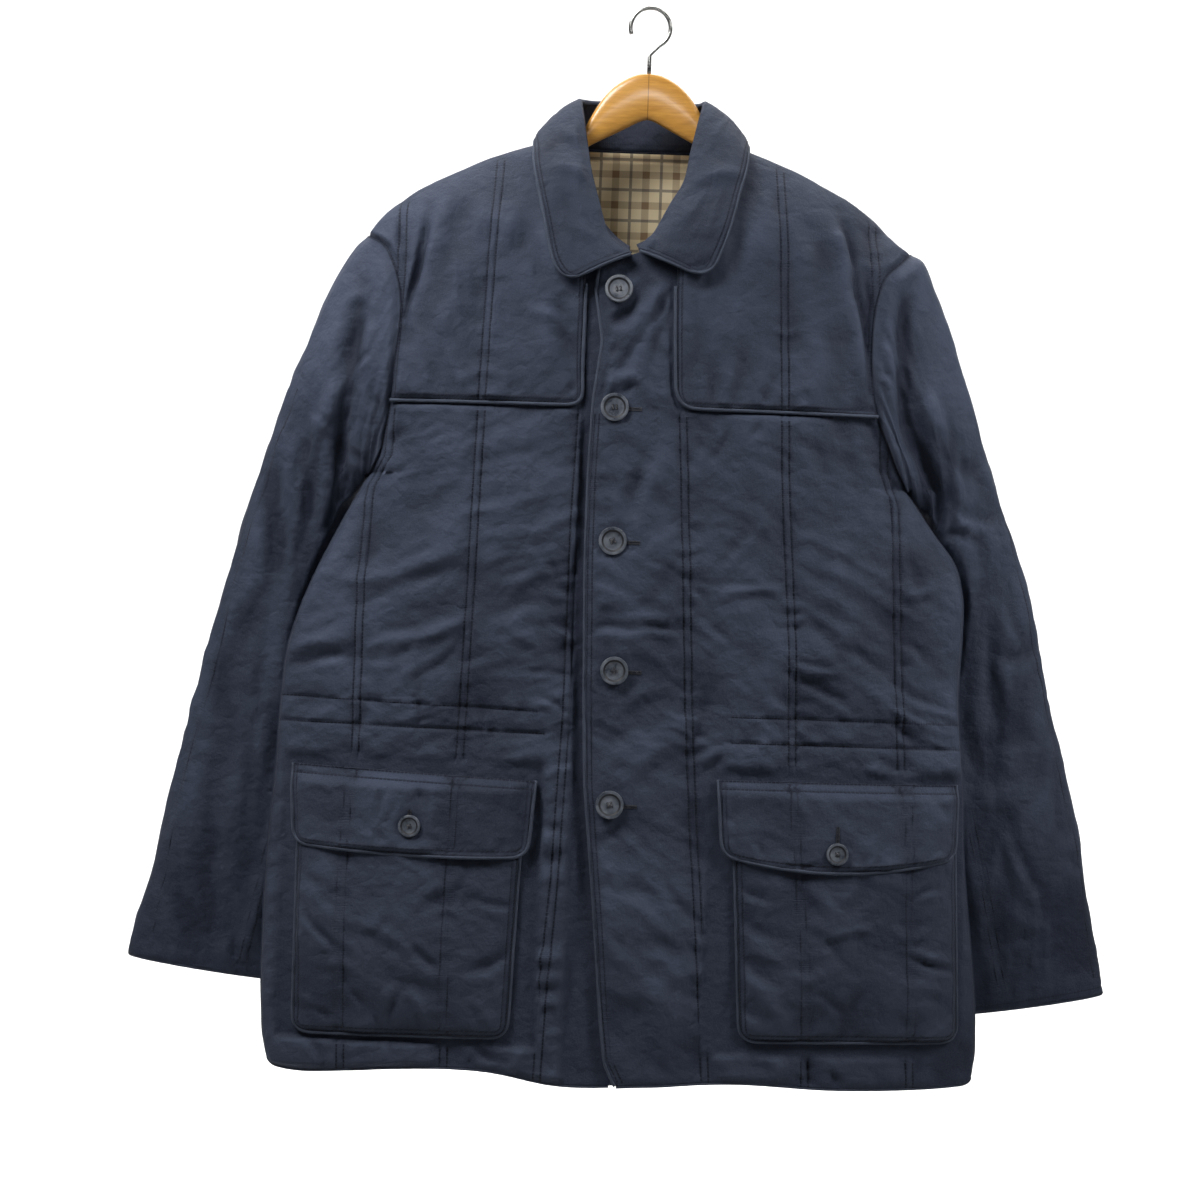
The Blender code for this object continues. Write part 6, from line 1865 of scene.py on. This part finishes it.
BUTTON_LIFT = 0.65
for number, (x, down, turn, crossed) in enumerate(FRONT_BUTTONS, start=1):
    spot, normal = on_front(x, down, PUFF + BUTTON_LIFT)
    put(big_button, "front_button_%d_disc" % number, spot, normal, turn)
    put(big_crossed if crossed else big_threads, "front_button_%d_thread" % number, spot, normal, turn)
for side, name, x, down, turn in FLAP_BUTTONS:
    height = float(flap_height(side, np.array([x]), np.array([down]))[0]) + THIN_WALL
    spot, normal = on_front(x, down, height + BUTTON_LIFT, side)
    put(small_button, name + "_disc", spot, normal, turn)
    put(small_threads, name + "_thread", spot, normal, turn)
for pattern in (big_button, small_button, big_threads, big_crossed, small_threads):
    bpy.data.objects.remove(pattern)
print(len(FRONT_BUTTONS) + len(FLAP_BUTTONS), "buttons placed")

# %% [markdown]
# ## Buttonholes
# Each is a slit bound with close thread: two thin raised lips with a dark gap. It starts
# behind its button and shows beside it. A lip is a row of small bars lying across the slit.

# %% Buttonholes
BAR_HALF = (0.3, 0.62)               # along the slit and across it
BAR_STEP, LIP_AT, BAR_HEIGHT = 0.8, 0.85, 0.55
BOX_FACES = ((3, 2, 1, 0), (4, 5, 6, 7), (0, 1, 5, 4), (1, 2, 6, 5), (2, 3, 7, 6), (3, 0, 4, 7))


def cover_height(name, x, down):
    """Height of a piece's face at the grid point nearest to a place."""
    grid_x, grid_down, height = COVER[name]
    return float(height.flat[np.argmin((grid_x - x) ** 2 + (grid_down - down) ** 2)])


def build_buttonhole(name, start, end, side, cloth):
    """Bars of thread down both sides of a slit, from one place to another on a front."""
    run = np.array(end, float) - np.array(start, float)
    length = float(np.hypot(*run))
    run = run / length
    across = np.array([-run[1], run[0]])
    points, faces = [], []
    count = int(length / BAR_STEP)
    half, wide = BAR_HALF
    for k in range(count + 1):
        for sign in (-1, 1):
            middle = np.array(start) + run * length * k / count + across * sign * LIP_AT
            first = len(points)
            for lift, share in ((0.0, 1.0), (BAR_HEIGHT, 0.72)):
                for a, b in ((-half, -wide), (half, -wide), (half, wide), (-half, wide)):
                    x, down = middle + (run * a + across * b) * share
                    height = cover_height(cloth, x, down) + 0.1 + lift
                    points.append(on_front(x, down, height, side)[0])
            faces += [tuple(first + corner for corner in face) for face in BOX_FACES]
    mesh = bpy.data.meshes.new(name)
    mesh.from_pydata(points, [], faces)
    turned_out(mesh)
    mesh.materials.append(cotton_thread)
    keep(name, mesh)


for number, (x, down, _, _) in enumerate(FRONT_BUTTONS[1:], start=2):
    build_buttonhole("front_buttonhole_%d" % number, (x + 2, down + 1), (x + 22, down + 1), 2, "left_front")
HOLE_ABOVE = {1: 13, 2: 22}      # how far above its button each flap's hole starts
for side, _, x, down, _ in FLAP_BUTTONS:
    word = SIDE_WORD[side]
    start, end = (x, down - HOLE_ABOVE[side]), (x, down - 2)
    build_buttonhole(word + "_flap_buttonhole", start, end, side, word + "_pocket_flap")

# %% [markdown]
# ## Riding and replacing
# Every piece rides on the one body, gets its cloth, and stands for its CAD solid.

# %% Riding and replacing
CUT = {
    "right_front": (0.40, 0.86, 0.258), "left_front": (0.44, 0.86, 0.27),
    "back": (0.68, 0.86, 0.50), "right_sleeve": (0.44, 0.66, 0.22), "left_sleeve": (0.44, 0.66, 0.22),
    "right_storm_flap": (0.22, 0.26, 0.042), "left_storm_flap": (0.22, 0.26, 0.042),
    "right_pocket": (0.19, 0.20, 0.036), "left_pocket": (0.19, 0.20, 0.036),
    "right_pocket_flap": (0.20, 0.07, 0.0134), "left_pocket_flap": (0.20, 0.07, 0.0134),
    "collar": (0.50, 0.115, 0.043), "back_lining": (0.23, 0.16, 0.028)}
INNER_NAVY = ("collar", "right_sleeve", "left_sleeve")      # the others show lining inside
SLOT_OF = {"wooden": "varnished_wood", "hook_wire": "hook_steel", "disc": "dark_button"}
for name, piece in PIECES.items():
    if name in CUT:
        piece.name = name + "_cloth"
        piece.data.materials.append(lining if name == "back_lining" else navy)
        piece.data.materials.append(navy if name in INNER_NAVY else lining)
        "checked_lining" if name == "back_lining" else "navy_cloth"
    else:
        if name in CORDS:
            piece.name = name + "_cord"
        if "piping" in name:
            piece.data.materials.append(piping_cloth)
        next((slot for word, slot in SLOT_OF.items() if word in name), "navy_piping")
    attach(piece, "root")
for name, (width, length, area) in CUT.items():
    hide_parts(name)
for name in CORDS:
    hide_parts(name)
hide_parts("wooden_hanger")
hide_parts("hanger_hook")
for name in [name for name in PIECES if name.endswith("_disc")]:
    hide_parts(name.removesuffix("_disc"))

# %% [markdown]
# ## Studio
# A white floor sweeps up into a wall, and two long lights wash the wall until it is plain
# white. The coat has one soft light above its front, a weaker one at each side, and a faint
# one into its neck. The camera stands level with the middle of the coat, 2.5 m away.

# %% Floor, lights and camera
# y, z and half width: wide on the floor, and narrow behind, where it would hide the coat's back
SWEEP = [
    (-3.2, -1.9, 5.0), (0.9, -1.9, 5.0), (1.35, -1.85, 1.35), (1.68, -1.66, 1.35),
    (1.82, -1.3, 1.35), (1.85, -0.5, 1.35), (1.85, 2.6, 1.35)]
# place, aim, size, power in watts, spread in degrees
LIGHTS = {
    "top_soft": ((-0.5, -0.5, 0.5), (-0.1, 0, -0.3), (0.5, 0.3), 3.7, 110),
    "left_soft": ((-0.9, -0.7, 0.4), (-0.3, 0, -0.6), (0.3, 0.3), 1.3, 60),
    "right_soft": ((1.0, -0.6, 0.3), (0.3, 0, -0.45), (0.3, 0.5), 1.4, 50),
    "neck_soft": ((0.02, -0.9, 0.12), (0.0, 0, -0.13), (0.12, 0.12), 0.014, 24),
    "wall_wash": ((0.0, 0.7, 1.9), (0, 1.85, -0.4), (4.0, 0.6), 105, 180),
    "low_wall_wash": ((0.0, 0.8, -1.7), (0, 1.85, -0.7), (4.0, 0.4), 45, 180)}
CAMERA_PLACE, CAMERA_ROLL = (-0.0257, -2.5, -0.4967), 2.0
FRAME_WIDTH, FILM_WIDTH = 1.008, 36.0        # metres seen at the coat, and millimetres of film


def build_backdrop():
    points = [(side * half, y, z) for y, z, half in SWEEP for side in (-1, 1)]
    faces = [(2 * k, 2 * k + 1, 2 * k + 3, 2 * k + 2) for k in range(len(SWEEP) - 1)]
    mesh = bpy.data.meshes.new("white_sweep")
    mesh.from_pydata(points, [], faces)
    mesh.shade_smooth()
    sweep = bpy.data.objects.new("white_sweep", mesh)
    bpy.context.scene.collection.objects.link(sweep)
    finish = Finish("white_paper", 0.9)
    fibre = finish.noise(finish.place(), 40.0)
    mesh.materials.append(finish.feed(base_color=finish.mix(fibre, rgb(250, 250, 250), rgb(254, 254, 254))))


def add_light(name, place_at, aim_at, size, power, spread):
    data = bpy.data.lights.new(name, "AREA")
    data.shape = "RECTANGLE"
    data.size, data.size_y = size
    data.energy = power
    data.spread = math.radians(spread)
    light = bpy.data.objects.new(name, data)
    light.location = place_at
    light.rotation_euler = (Vector(aim_at) - Vector(place_at)).to_track_quat("-Z", "Y").to_euler()
    bpy.context.scene.collection.objects.link(light)


build_backdrop()
for name, settings in LIGHTS.items():
    add_light(name, *settings)
world = bpy.data.worlds.new("studio_air")
world.use_nodes = True
world.node_tree.nodes["Background"].inputs["Color"].default_value = (1.0, 1.0, 1.0, 1.0)
world.node_tree.nodes["Background"].inputs["Strength"].default_value = 0.05
bpy.context.scene.world = world
bpy.context.scene.view_settings.view_transform = "Standard"

camera_data = bpy.data.cameras.new("camera")
camera_data.sensor_fit = "HORIZONTAL"
camera_data.sensor_width = FILM_WIDTH
camera_data.lens = FILM_WIDTH * -CAMERA_PLACE[1] / FRAME_WIDTH
camera = bpy.data.objects.new("camera", camera_data)
level = Euler((math.radians(90), 0, 0)).to_matrix().to_4x4()
rolled = Matrix.Rotation(math.radians(CAMERA_ROLL), 4, "Z")
camera.matrix_world = Matrix.Translation(Vector(CAMERA_PLACE)) @ level @ rolled
bpy.context.scene.collection.objects.link(camera)
bpy.context.scene.camera = camera
